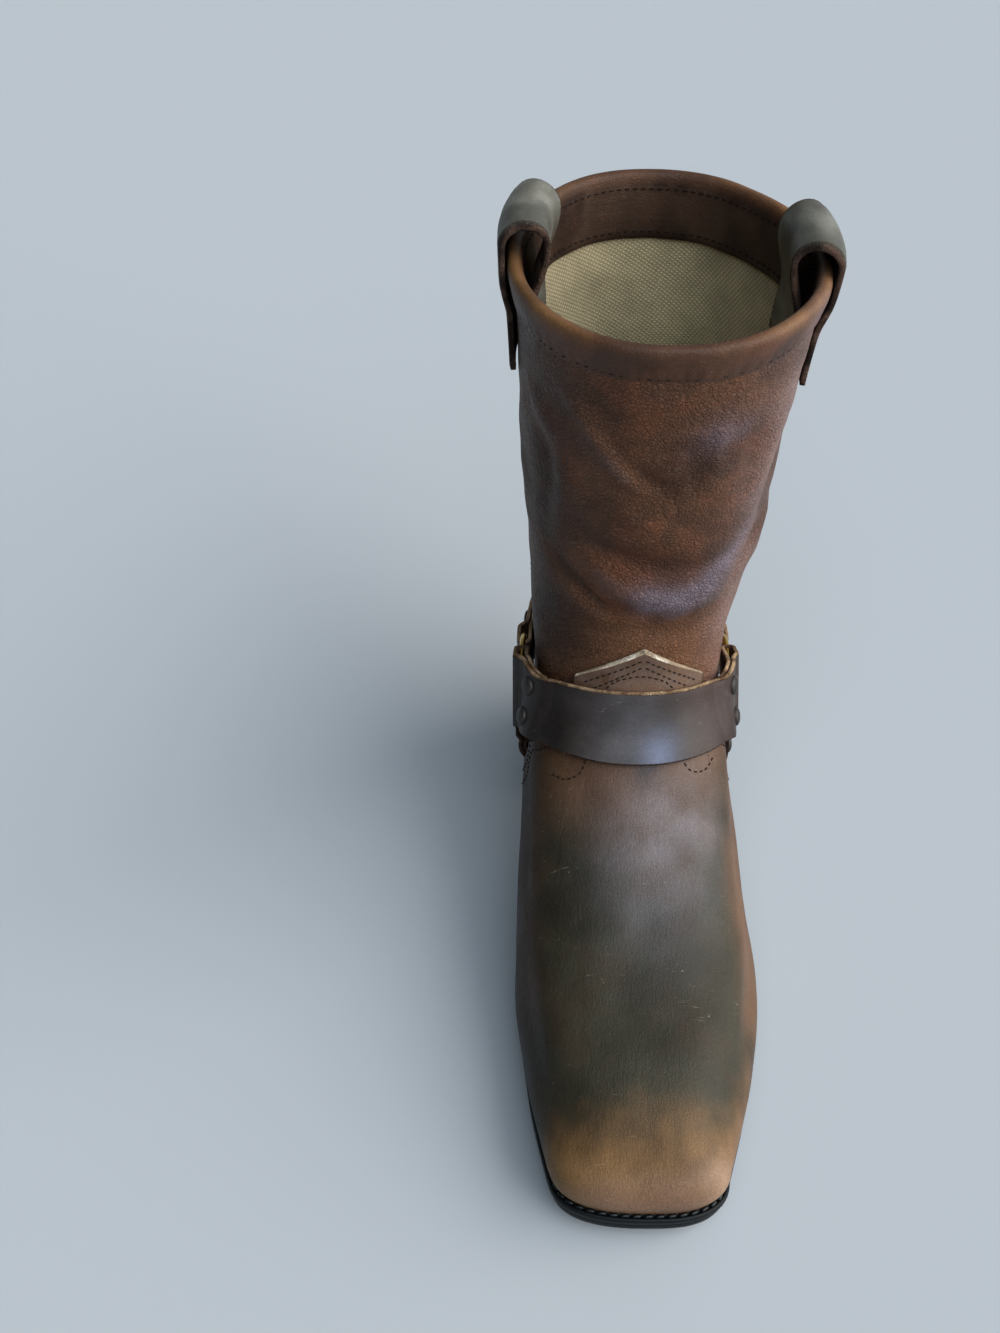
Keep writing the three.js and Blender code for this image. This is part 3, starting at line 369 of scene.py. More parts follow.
class Nodes:
    """A node tree, with a short call for each kind of node in it."""
    def __init__(self, tree):
        self.tree = tree

    def fill(self, sockets, values):
        for key, value in values.items():
            if isinstance(value, bpy.types.NodeSocket):
                self.tree.links.new(value, sockets[key])
            else:
                sockets[key].default_value = value

    def add(self, kind, inputs, **settings):
        node = self.tree.nodes.new("ShaderNode" + kind)
        for key, value in settings.items():
            setattr(node, key, value)
        self.fill(node.inputs, inputs)
        return node.outputs

    def coords(self, kind="Object"):
        return self.add("TexCoord", {})[kind]

    def noise(self, vector, scale, detail=3.0, rough=0.55, bend=0.0):
        inputs = {"Vector": vector, "Scale": scale, "Detail": detail, "Roughness": rough, "Distortion": bend}
        return self.add("TexNoise", inputs)["Fac"]

    def placed(self, vector, scale, turn=(0, 0, 0)):
        return self.add("Mapping", {"Vector": vector, "Scale": scale, "Rotation": turn})["Vector"]

    def borders(self, vector, scale):
        """Distance to the nearest border between scattered cells."""
        inputs = {"Vector": vector, "Scale": scale}
        return self.add("TexVoronoi", inputs, feature="DISTANCE_TO_EDGE")["Distance"]

    def waves(self, vector, turn, scale, bend=0.0):
        vector = self.placed(vector, (1, 1, 1), (0, 0, turn))
        return self.add("TexWave", {"Vector": vector, "Scale": scale, "Distortion": bend})["Fac"]

    def ramp(self, value, low, high, out_low=0.0, out_high=1.0):
        inputs = {"Value": value, "From Min": low, "From Max": high, "To Min": out_low, "To Max": out_high}
        return self.add("MapRange", inputs)["Result"]

    def tone(self, value, change):
        return self.ramp(value, 0.3, 0.7, 1 - change, 1 + change)

    def joined(self, operation, first, *others):
        for other in others:
            first = self.add("Math", {0: first, 1: other}, operation=operation)[0]
        return first

    def times(self, *values):
        return self.joined("MULTIPLY", *values)

    def plus(self, *values):
        return self.joined("ADD", *values)

    def mix(self, share, a, b, blend="MIX"):
        return self.add("Mix", {0: share, 6: a, 7: b}, data_type="RGBA", blend_type=blend)[2]

    def shaded(self, colour, value):
        grey = self.add("CombineColor", {"Red": value, "Green": value, "Blue": value})[0]
        return self.mix(1.0, colour, grey, "MULTIPLY")

    def relief(self, height, depth, strength=1.0):
        return self.add("Bump", {"Strength": strength, "Distance": depth, "Height": height})["Normal"]


class Surface(Nodes):
    """A new material's nodes."""
    def __init__(self, name):
        self.material = bpy.data.materials.new(name)
        self.material.use_nodes = True
        super().__init__(self.material.node_tree)

    def shows(self, inputs):
        shader = next(n for n in self.tree.nodes if n.type == "BSDF_PRINCIPLED")
        self.fill(shader.inputs, inputs)
        return self.material


def leather(name, stretch, turn=(0, 0, 0), mottle=0.14, grain=0.12, hair=0.25, rough=(0.34, 0.5), cells=520.0,
            pebble=0.5, wrinkle=0.0, shine=0.17, scuff=0.3, cloud=0.3, warm=(0.075, 0.028, 0.014)):
    """Oiled leather: the mesh's paint with pebbled grain, wrinkles, hairlines, scuffs and specks."""
    m = Surface(name)
    coords = m.coords()
    bent = m.add("TexNoise", {"Vector": coords, "Scale": 260.0, "Detail": 2.0})["Color"]
    bent = m.add("VectorMath", {0: bent, 1: (0.0035,) * 3}, operation="MULTIPLY")[0]
    bent = m.add("VectorMath", {0: coords, 1: bent}, operation="ADD")[0]
    patches, blotches = m.noise(coords, 38.0, 4.0, 0.6, 0.6), m.noise(coords, 130.0, 3.0, 0.6, 0.3)
    lines = m.noise(m.placed(coords, stretch, turn), 1.0, 3.0, 0.62, 0.35)
    edges = m.ramp(m.borders(bent, cells), 0.0, 0.22)
    dark = m.times(m.tone(patches, mottle), m.tone(blotches, 0.5 * mottle), m.tone(lines, hair),
                   m.tone(m.noise(coords, 1600.0, 2.0), 0.12),
                   m.ramp(edges, 0.0, 1.0, 1 - 0.22 * pebble, 1.06))
    height = m.times(edges, m.ramp(blotches, 0.35, 0.65, 0.45, 1.0), 0.9 * pebble)
    height = m.plus(height, m.times(lines, 1.2))
    if wrinkle:
        wide = m.borders(m.placed(bent, (150, 150, 95), (0.5, 0.3, 0)), 1.0)
        wide = m.times(m.ramp(wide, 0.0, 0.13, -1.0, 0.0), m.ramp(patches, 0.45, 0.62))
        height = m.plus(height, m.times(wide, wrinkle))
        # The wrinkles' lines are painted darker: painted shade in their grooves.
        dark = m.times(dark, m.ramp(wide, -1.0, 0.0, 1 - 0.12 * wrinkle, 1.0))
    colour = m.shaded(m.add("Attribute", {}, attribute_name="paint")["Color"], dark)
    colour = m.mix(m.ramp(blotches, 0.52, 0.75, 0.0, cloud), colour, (*warm, 1))
    scratches = m.noise(m.placed(coords, (70, 1900, 300), (0.2, 0.1, 0.9)), 1.0, 2.0, 0.6)
    scratches = m.times(m.ramp(scratches, 0.68, 0.74), m.ramp(patches, 0.5, 0.6))
    specks = m.times(m.ramp(m.noise(coords, 420.0, 1.0), 0.775, 0.81), m.ramp(patches, 0.42, 0.55))
    marks = m.times(m.joined("MAXIMUM", scratches, specks), scuff)
    gloss = m.ramp(m.plus(m.times(lines, 0.4), m.times(patches, 0.6)), 0.35, 0.65, *rough)
    return m.shows({
        COLOUR: m.mix(marks, colour, (0.3, 0.24, 0.18, 1)),
        ROUGH: m.plus(gloss, m.ramp(edges, 0.0, 1.0, 0.08, 0.0)),
        SHINE: shine,
        NORMAL: m.relief(height, 0.001 * grain)})


def plain(name, colour, rough, metal=0.0, grain=0.0, scale=600.0, vary=0.15, shine=0.5):
    """Rubber, thread or metal with small changes of tone, gloss and relief."""
    m = Surface(name)
    coords = m.coords()
    speckle, broad = m.noise(coords, scale, 4.0, 0.6), m.noise(coords, scale / 12, 3.0, 0.6)
    inputs = {COLOUR: m.shaded((*colour, 1), m.times(m.tone(speckle, vary), m.tone(broad, vary))),
              ROUGH: m.ramp(broad, 0.3, 0.7, rough - 0.08, rough + 0.08), "Metallic": metal, SHINE: shine}
    if grain:
        inputs[NORMAL] = m.relief(speckle, 0.001 * grain)
    return m.shows(inputs)


def tread(name, colour):
    """The underside's rubber: small diamonds between crossed grooves, scuffed grey and dusty."""
    m = Surface(name)
    coords = m.coords()
    ribs = m.joined("MAXIMUM", *(m.waves(coords, turn, 78.0) for turn in (0.62, -0.62)))
    ribs = m.ramp(ribs, 0.6, 0.92, 1.0, 0.0)
    worn = m.noise(coords, 24.0, 4.0, 0.6)
    dust = m.ramp(m.noise(coords, 900.0, 3.0), 0.35, 0.65, 0.4, 1.0)
    dust = m.times(m.ramp(worn, 0.4, 0.62), dust, 0.5)
    shade = m.mix(dust, (*colour, 1), (0.11, 0.105, 0.095, 1))
    # The grooves are painted near black: painted shade in them.
    shade = m.mix(ribs, (0.006, 0.007, 0.007, 1), shade)
    return m.shows({COLOUR: shade, ROUGH: m.ramp(worn, 0.3, 0.7, 0.5, 0.75), SHINE: 0.2,
                    NORMAL: m.relief(ribs, 0.0007)})


def twill(name, colour):
    """Woven lining: two crossing threads of about 0.7 mm over the mesh's own plane."""
    m = Surface(name)
    weave = m.times(*(m.waves(m.coords("UV"), turn, 230.0, 0.6) for turn in (0.9, -0.5)))
    shade = m.mix(m.ramp(weave, 0.0, 0.6), (*(0.62 * c for c in colour), 1), (*colour, 1))
    dirt = m.ramp(m.noise(m.coords(), 60.0, 4.0, 0.6), 0.3, 0.7, 0.75, 1.12)
    return m.shows({COLOUR: m.shaded(shade, dirt), ROUGH: 0.9, "Sheen Weight": 0.15,
                    NORMAL: m.relief(weave, 0.0003, 0.7)})


shaft_leather = leather("shaft_leather", (300, 300, 700), (0.5, -0.4, 0), grain=0.42, hair=0.1, cells=620.0,
                        pebble=1.1, wrinkle=1.0, scuff=0.25)
vamp_leather = leather("vamp_leather", (900, 160, 500), mottle=0.07, grain=0.17, hair=0.09, cells=900.0,
                       scuff=0.4, cloud=0.12, warm=(0.045, 0.024, 0.012))
binding_leather = leather("binding_leather", (300, 300, 700), grain=0.2, hair=0.08, rough=(0.36, 0.52),
                          cells=820.0, shine=0.2)
strap_leather = leather("strap_leather", (300, 300, 700), grain=0.08, hair=0.06, cells=1100.0, pebble=0.4,
                        shine=0.26, scuff=0.55, cloud=0.2, warm=(0.03, 0.018, 0.014))
raw_leather = leather("raw_leather", (900, 900, 900), mottle=0.2, grain=0.5, hair=0.3, rough=(0.8, 0.95),
                      cells=1300.0, pebble=1.2, shine=0.15, scuff=0.0, warm=(0.1, 0.06, 0.04))
lining_cloth = twill("lining_cloth", rgb(178, 162, 124))
rubber = plain("sole_rubber", rgb(7, 10, 12), 0.5, grain=0.12, scale=900.0, shine=0.18)
thread = plain("thread", rgb(24, 16, 12), 0.75, grain=0.1, scale=2500.0, shine=0.15)
treaded = tread("sole_tread", rgb(26, 27, 28))
black_thread = plain("welt_thread", rgb(8, 12, 14), 0.36, grain=0.1, scale=2500.0, shine=0.3)
brass = plain("brass", rgb(196, 164, 84), 0.26, metal=1.0, vary=0.1)
dark_metal = plain("dark_metal", rgb(44, 40, 37), 0.5, metal=0.5, grain=0.08, vary=0.25)


# Places on the boot in millimetres.
def up_at(v, t):
    v = floats(v)
    return unit(surf(np.minimum(v + 0.004, 1), t) - surf(np.maximum(v - 0.004, 0), t))


def flat_uv(v, t):
    """Places in the plane: distance round from the toe's middle and distance up, in millimetres."""
    v, t = np.broadcast_arrays(floats(v), floats(t))
    return np.stack([t * GIRTH, v * BODY], -1)


def round_uv(v, t, shape):
    return flat_uv(np.broadcast_to(v, shape), np.broadcast_to(t, shape))


def turn_of(t):
    """Places round from the toe's middle, from -0.5 to 0.5."""
    return ((floats(t) + 0.5) % 1) - 0.5


def along_lines(p, line):
    """Distance from points to a line of points, and the share of the line up to the nearest place."""
    line = floats(line)
    lengths = np.linalg.norm(np.diff(line, axis=0), axis=1)
    starts = np.concatenate([[0], np.cumsum(lengths)])
    best, share = np.full(p.shape[:-1], 1e9), np.zeros(p.shape[:-1])
    for a, b, start, length in zip(line[:-1], line[1:], starts, lengths):
        k = np.clip(((p - a) @ (b - a)) / max(length**2, 1e-9), 0, 1)
        d = np.linalg.norm(p - (a + k[..., None] * (b - a)), axis=-1)
        closer = d < best
        best = np.where(closer, d, best)
        share = np.where(closer, (start + k * length) / starts[-1], share)
    return best, share


def curve_through(points, count=24):
    points = floats(points)
    places = running(points)
    return through(places, points, np.linspace(0, places[-1], count))


# Creases of the shaft: places round the loop and heights above the floor, then width and height of the fold.
CREASES = [
    ([(-0.123, 278), (-0.09, 264), (-0.05, 247), (-0.01, 228)], 5.0, 2.4),
    ([(-0.079, 263), (-0.055, 254), (-0.035, 245), (0.0, 236), (0.03, 240)], 4.0, -2.0),
    ([(-0.167, 272), (-0.167, 261), (-0.122, 244), (-0.117, 217), (-0.137, 192)], 6.0, 1.8),
    ([(-0.15, 250), (-0.14, 228), (-0.15, 205), (-0.175, 190)], 5.0, -1.6),
    ([(-0.14, 224), (-0.115, 210), (-0.075, 201), (-0.03, 195), (0.02, 190), (0.07, 187), (0.11, 191),
      (0.15, 203)], 6.5, -2.0),
    ([(-0.1, 196), (-0.06, 185), (-0.02, 176), (0.03, 170), (0.075, 170), (0.11, 176),
      (0.14, 187)], 7.5, 4.0),
    ([(0.1, 166), (0.13, 174), (0.16, 186), (0.18, 198)], 5.0, -2.6),
    ([(-0.03, 158), (0.02, 152), (0.07, 150), (0.12, 156)], 6.0, -1.6),
    ([(-0.15, 190), (-0.129, 181), (-0.1, 174), (-0.074, 168), (-0.03, 160)], 4.5, -2.2),
    ([(-0.12, 172), (-0.08, 162), (-0.04, 154)], 5.0, 1.4),
    ([(0.054, 266), (0.056, 256), (0.054, 247), (0.071, 237)], 3.4, 1.3),
    ([(0.02, 262), (0.03, 250), (0.036, 238), (0.05, 226)], 4.0, -1.3),
    ([(0.085, 262), (0.1, 248), (0.105, 232), (0.09, 216)], 4.5, -1.3),
    ([(0.13, 268), (0.14, 250), (0.14, 230), (0.125, 212)], 6.0, 1.5),
    ([(0.19, 240), (0.175, 222), (0.165, 204), (0.18, 188)], 5.5, -1.8),
    ([(0.2, 205), (0.19, 190), (0.2, 172), (0.215, 160)], 6.0, 1.8),
    ([(0.0, 226), (0.03, 215), (0.07, 206), (0.11, 204)], 6.0, -1.2),
    ([(-0.06, 232), (-0.03, 220), (-0.01, 206)], 5.0, 1.2),
    ([(0.25, 215), (0.24, 198), (0.25, 180), (0.26, 165)], 7.0, -1.8),
    ([(0.36, 170), (0.42, 160), (0.5, 156), (0.58, 160), (0.64, 172)], 6.0, -2.4),
    ([(0.37, 186), (0.43, 176), (0.5, 172), (0.57, 176), (0.63, 188)], 7.0, 1.6),
    ([(0.38, 150), (0.44, 140), (0.5, 136), (0.56, 140), (0.62, 150)], 6.0, -1.8),
    ([(0.42, 250), (0.45, 230), (0.47, 205)], 8.0, -1.5),
    ([(0.55, 262), (0.56, 240), (0.54, 212)], 8.0, 1.4),
    ([(0.72, 232), (0.74, 210), (0.72, 188)], 6.0, -1.7),
    ([(0.78, 250), (0.77, 225), (0.785, 200), (0.77, 175)], 6.0, 1.6),
]
# Creases of the vamp: places round and up the boot.
VAMP_CREASES = [
    ([(-0.13, 0.3), (-0.06, 0.322), (0.0, 0.33), (0.07, 0.322), (0.13, 0.3)], 7.0, -0.9),
    ([(-0.2, 0.2), (-0.16, 0.235), (-0.1, 0.262), (-0.04, 0.27)], 6.0, -0.8),
    ([(0.2, 0.2), (0.17, 0.23), (0.12, 0.256), (0.06, 0.268)], 6.0, -0.8),
    ([(-0.17, 0.18), (-0.1, 0.225), (0.0, 0.238), (0.1, 0.225), (0.17, 0.18)], 8.0, 0.7),
    ([(-0.22, 0.1), (-0.19, 0.15), (-0.15, 0.18)], 6.0, -0.6),
    ([(0.22, 0.1), (0.19, 0.145), (0.15, 0.175)], 6.0, -0.6),
]


FOLD_DEPTH = 0.78


def crease_lines():
    lines = []
    for places, width, height in CREASES:
        t, z = np.array(places).T
        lines.append((curve_through(surf(way_up(t, z), t)), width, height))
    for places, width, height in VAMP_CREASES:
        t, v = np.array(places).T
        lines.append((curve_through(surf(v, t)), width, height))
    return lines


CREASE_LINES = crease_lines()


def folds(v, t):
    """Height of the folds over the smooth surface, in millimetres."""
    v, t = np.broadcast_arrays(floats(v), floats(t))
    p = surf(v, t)
    total = np.zeros(v.shape)
    for line, width, height in CREASE_LINES:
        middle = line.mean(0)
        reach = np.linalg.norm(line - middle, axis=-1).max() + 3 * width
        near = np.linalg.norm(p - middle, axis=-1) < reach
        if near.any():
            d, share = along_lines(p[near], line)
            ends = smooth(0, 0.28, share) * smooth(0, 0.28, 1 - share)
            total[near] += FOLD_DEPTH * height * np.exp(-((d / width) ** 2)) * ends
    shaft = smooth(0.5, 0.58, v) * smooth(1.0, 0.93, v)
    total += shaft * (0.8 * value_noise(p, 26.0, 3) + 0.32 * value_noise(p, 10.0, 4))
    foot = (1 - smooth(0.4, 0.5, v)) * smooth(0.0, 0.06, v)
    total += foot * (0.35 * value_noise(p, 30.0, 5) + 0.12 * value_noise(p, 9.0, 6))
    return total


def skin(v, t, height=0.0, fold=1.0):
    return raised(v, t, floats(height) + fold * folds(v, t))


# Edges of the overlays, as places round (t) and up (v). The vamp's has a peak in front over square corners.
SEAM_T = 0.335
VAMP_EDGE = np.array([(-0.335, 0.039), (-0.309, 0.111), (-0.182, 0.333), (-0.092, 0.408), (-0.088, 0.461),
                      (0.003, 0.516), (0.092, 0.461), (0.096, 0.408), (0.182, 0.333), (0.309, 0.111),
                      (0.335, 0.039)])
COUNTER_PEAK = float(way_up(0.5, sole_top(0) + 0.38 * HEEL_RISE))


def counter_top(t):
    return lerp(COUNTER_PEAK, 0.039, (np.abs(t - 0.5) / (0.5 - SEAM_T)) ** 0.9)


def medial_shade_and_dirt(t):
    """The inner side of the boot is painted darker: painted shade, with some dirt and polish."""
    turn = turn_of(t)
    return smooth(-0.06, -0.17, turn) * smooth(-0.5, -0.36, turn)


def wall_paint(v, t, p, fold):
    """Colour of the upper's leather: red brown in clouds, with painted highlights on ridges, painted shade in
    creases and painted bluish sheen; the outer side painted lighter as lit, the inner side darker as shaded.
    """
    n1, n2, n3 = value_noise(p, 34, 11), value_noise(p, 15, 12), value_noise(p, 6, 13)
    broad = 0.6 * n1 + 0.45 * n2 + 0.3 * n3
    brown = mixed(rgb(66, 42, 28), rgb(94, 62, 42), smooth(-0.7, 0.7, broad))
    brown = mixed(brown, rgb(100, 56, 34), 0.4 * smooth(0.1, 0.8, value_noise(p, 22, 15) + 0.4 * n3))
    brown = mixed(brown, rgb(52, 36, 31), 0.5 * smooth(0.1, 0.8, 0.6 * value_noise(p, 28, 14) + 0.5 * n2))
    # Painted highlight: the ridges of the folds lighter and greyer.
    brown = mixed(brown, rgb(98, 86, 88), 0.25 * smooth(0.6, 2.0, fold + 0.7 * n2 + 0.5 * n3))
    turn, z = turn_of(t), p[..., 2]
    # Painted shade: the creases darker.
    brown = mixed(brown, rgb(44, 27, 19), 0.55 * smooth(-0.4, -2.0, fold))
    # Painted sheen: a bluish band along the crest of the bulge above the ankle, at the front and outer side,
    # and a bluish patch high on the front.
    crest = 172 + 900 * np.maximum(turn - 0.045, 0) ** 1.5
    painted_sheen = smooth(-0.045, 0.0, turn + 0.008 * n2) * smooth(0.17, 0.12, turn)
    painted_sheen = np.exp(-(((z - crest + 2 * n2) / 8.5) ** 2)) * painted_sheen
    brown = mixed(brown, rgb(116, 111, 126), 0.55 * painted_sheen * (0.85 + 0.35 * n3))
    painted_sheen = np.exp(-(((turn - 0.057 + 0.006 * n3) / 0.026) ** 2) - ((z - 259 + 3 * n2) / 9) ** 2)
    brown = mixed(brown, rgb(112, 98, 108), 0.5 * painted_sheen)
    brown = mixed(brown, rgb(120, 82, 56), 0.35 * smooth(168, 150, z + 3 * n2) * smooth(-0.12, 0.0, turn))
    # Painted light: the outer side, where the key lamp falls, is painted lighter, greyer and brighter; the
    # inner side is darker by the painted shade.
    lateral = smooth(0.06, 0.17, turn) * smooth(0.26, 0.19, turn)
    brown = mixed(brown, rgb(146, 122, 118), 0.5 * lateral * (0.7 + 0.5 * n2))
    return brown * (1 - 0.5 * medial_shade_and_dirt(t) + 0.15 * lateral)[..., None]


def vamp_paint(v, t, p, fold):
    """Dark oiled leather with a painted bluish sheen, brown at the sides and the strap, tan at the toe with
    painted highlights; the outer side painted lighter as lit, the inner side darker as shaded.
    """
    n1, n2, n3 = value_noise(p, 30, 21), value_noise(p, 12, 22), value_noise(p, 4.5, 23)
    turn = turn_of(t)
    side = np.abs(turn)
    olive = mixed(rgb(40, 37, 27), rgb(52, 49, 38), smooth(-0.6, 0.6, n1 + 0.5 * n2))
    tan = mixed(rgb(88, 64, 38), rgb(112, 84, 53), smooth(-0.8, 0.8, n1 + 0.5 * n2 + 0.5 * n3))
    # Painted light: the toe's outer side lighter as lit, its tip lighter as a painted sheen, and a painted
    # highlight on its outer front.
    tan = mixed(tan, rgb(120, 92, 74), 0.4 * smooth(22, 46, p[..., 0] + 4 * n2)) * 0.93
    tan = mixed(tan, rgb(122, 94, 78), 0.55 * smooth(-254, -266, p[..., 1] + 3 * n2))
    spot = ((p[..., 0] - 29) / 12) ** 2 + ((p[..., 1] + 257) / 9) ** 2
    tan = mixed(tan, rgb(172, 142, 120), 0.5 * np.exp(-spot))
    # The sides' brown is painted lighter towards the outer side, as lit.
    rust = smooth(-0.6, 0.6, n1 + 0.4 * n2) * 0.4 + 0.6 * smooth(-0.12, 0.1, turn)
    rust = mixed(rgb(62, 38, 19), rgb(98, 72, 52), rust)
    edge = -239 + 34 * smooth(24, 50, p[..., 0]) + 2 * n1 + 2 * n2 + 3 * n3
    toe = smooth(edge + 17, edge - 15, p[..., 1])
    sides = smooth(0.088, 0.165, side + 0.015 * n1 + 0.012 * n2)
    top = smooth(0.27, 0.37, v + 0.015 * n1 + 0.012 * n2)
    colour = mixed(olive, rust, 0.95 * np.maximum(sides, top))
    # Painted sheen: a bluish grey patch in the middle of the vamp below the instep strap, a little to the
    # outer side.
    across = (turn - 0.028) / np.where(turn < 0.028, 0.062, 0.068)
    along = (v - 0.325) / np.where(v < 0.325, 0.075, 0.055)
    painted_vamp_sheen = np.exp(-(across**2) - along**2) * (1 - toe)
    colour = mixed(colour, rgb(120, 117, 124), 0.58 * painted_vamp_sheen * (0.82 + 0.4 * n2 + 0.2 * n3))
    # A small darker spot just below the instep strap's middle.
    dark_spot_below_strap = np.exp(-(((turn - 0.008 + 0.006 * n3) / 0.017) ** 2) - ((v - 0.378 - 0.006 * n3) / 0.016) ** 2)
    colour = mixed(colour, rgb(52, 52, 56), 0.75 * dark_spot_below_strap)
    tab = smooth(0.43, 0.47, v)
    colour = mixed(colour, rgb(96, 78, 68), tab * (0.62 + 0.4 * n3 + 0.3 * value_noise(p, 2.2, 25)))
    colour = mixed(colour, tan, toe)
    rust = smooth(0.1, 0.8, value_noise(p, 15, 24) + 0.4 * n3)
    colour = mixed(colour, rgb(60, 38, 24), 0.2 * (1 - toe) * rust)
    # The inner side is painted darker, as painted shade with some dirt, less on the toe; the outer side is
    # painted a little lighter, as lit.
    dirt = medial_shade_and_dirt(t) * (1 - 0.6 * toe)
    return colour * (1 - 0.68 * dirt + 0.04 * medial_shade_and_dirt(-np.asarray(t)))[..., None]


# Stitches: small arched pieces of thread along a line of points, with the leather's outward directions.
def stitches(points, normals, pitch, length, radius, rise=0.5, turn=0.0):
    points, normals = floats(points), floats(normals)
    lengths = running(points)
    count = max(int(round(lengths[-1] / pitch)), 1)
    at = (np.arange(count) + 0.5) / count * lengths[-1]
    places = at_lengths(at, lengths, points)
    normal = unit(at_lengths(at, lengths, normals))
    ahead = at_lengths(at + 0.4, lengths, points) - at_lengths(at - 0.4, lengths, points)
    ahead = unit(ahead - (ahead * normal).sum(-1, keepdims=True) * normal)
    ahead = ahead * math.cos(turn) + np.cross(normal, ahead) * math.sin(turn)
    across = np.cross(normal, ahead)
    rings, sides = 7, 6
    x = np.linspace(-1, 1, rings)
    r = radius * np.sqrt(np.clip(1 - 0.92 * x**4, 0, 1)) * np.where(np.abs(x) > 0.99, 0.25, 1)
    lift = rise * radius * (1 - 1.8 * x**4)
    a = circle(sides)
    local = (np.repeat(x * length / 2, sides), np.outer(r, np.cos(a)).ravel(),
             (np.outer(r, np.sin(a)) + lift[:, None]).ravel())
    corners = places[:, None]
    for share, direction in zip(local, (ahead, across, normal)):
        corners = corners + share[None, :, None] * direction[:, None]
    corners = corners.reshape(-1, 3)
    firsts = (np.arange(count) * rings * sides)[:, None, None]
    quads = (quads_of(rings, sides, wrap=True)[None] + firsts).reshape(-1, 4)
    return corners, quads, corners[:, :2], np.broadcast_to(rgb(40, 28, 21), corners.shape)


def stitch_row(v, t, height, pitch=2.7, length=1.9, radius=0.3, rise=0.4, inward=False):
    n = outward(np.minimum(v, 0.994), t) * (-1 if inward else 1)
    return stitches(skin(v, t, height), n, pitch, length, radius, rise)


# The upper: its outside, its lining and the rim between them.
def upper_pieces():
    rows = np.concatenate([np.linspace(0, 0.3, 24, endpoint=False), np.linspace(0.3, 1, 190)])
    v, t = np.meshgrid(rows, np.arange(330) / 330, indexing="ij")
    fold = folds(v, t)
    p = raised(v, t, fold)
    outside = sheet_part(p, flat_uv(v, t), wall_paint(v, t, p, fold), wrap=True)
    rim = np.array([skin(np.ones(330), t[0], h) for h in (0.0, -0.4, -1.2, -WALL)])
    rim = sheet_part(rim, round_uv(1.0, t[0], (4, 330)), rgb(90, 62, 40), wrap=True)
    build("shaft_outside", [outside, rim], shaft_leather, ["upper"])
    v, t = np.meshgrid(np.linspace(0, 1, 90), np.arange(200) / 200, indexing="ij")
    lining = sheet_part(skin(v, t, -WALL), flat_uv(v, t), rgb(170, 150, 115), wrap=True, flip=True)
    build("shaft_lining", [lining], lining_cloth, ["upper"])


def tab_rise(v):
    return 0.9 * smooth(0.36, 0.5, v)


def overlay_pieces(name, t, tops, paint_of):
    """A leather layer from the sole's edge up to a top edge, with a raw edge that is rounded a little."""
    low, high = OVERLAY_GAP, OVERLAY_GAP + OVERLAY
    v = np.linspace(0, 1, 110)[:, None] * tops[None]
    tt = np.broadcast_to(t, v.shape)
    fold = folds(v, tt)
    tab = tab_rise(v) * (name == "vamp")
    p = raised(v, tt, high + fold + tab)
    outside = sheet_part(p, flat_uv(v, tt), paint_of(v, tt, p, fold))
    build(name, [outside], vamp_leather, [name])
    profile = [(0.0, high), (0.4, high - 0.15), (0.8, high - 0.8), (0.75, low + 0.2), (0.1, low - 0.6)]
    up = up_at(tops, t)
    edge = np.array([skin(tops, t, h + tab[-1] * (i < 3)) + up * d for i, (d, h) in enumerate(profile)])
    pale = np.where(name == "vamp", smooth(0.4, 0.44, tops), 0)
    dim = mixed(rgb(84, 60, 42), rgb(178, 156, 130), pale)
    bright = mixed(rgb(120, 90, 64), rgb(240, 226, 204), pale)
    cream = mixed(dim, bright, smooth(-0.4, 0.5, value_noise(edge, 6, 31)))
    raw = sheet_part(edge, round_uv(tops, t, edge.shape[:2]), cream)
    build(name + "_edge", [raw], raw_leather)


def vamp_pieces():
    t = np.linspace(-SEAM_T + 0.001, SEAM_T - 0.001, 300)
    corners = VAMP_EDGE[1:-1, 0]
    t = np.sort(np.concatenate([t[np.abs(t[:, None] - corners).min(1) > 0.0011], corners]))
    overlay_pieces("vamp", t, np.interp(t, VAMP_EDGE[:, 0], VAMP_EDGE[:, 1]), vamp_paint)
    t = np.linspace(SEAM_T + 0.001, 1 - SEAM_T - 0.001, 150)
    overlay_pieces("counter", t, counter_top(t), lambda *at: mixed(wall_paint(*at), rgb(66, 44, 30), 0.4))


def down(depth):
    return 1 - floats(depth) / BODY


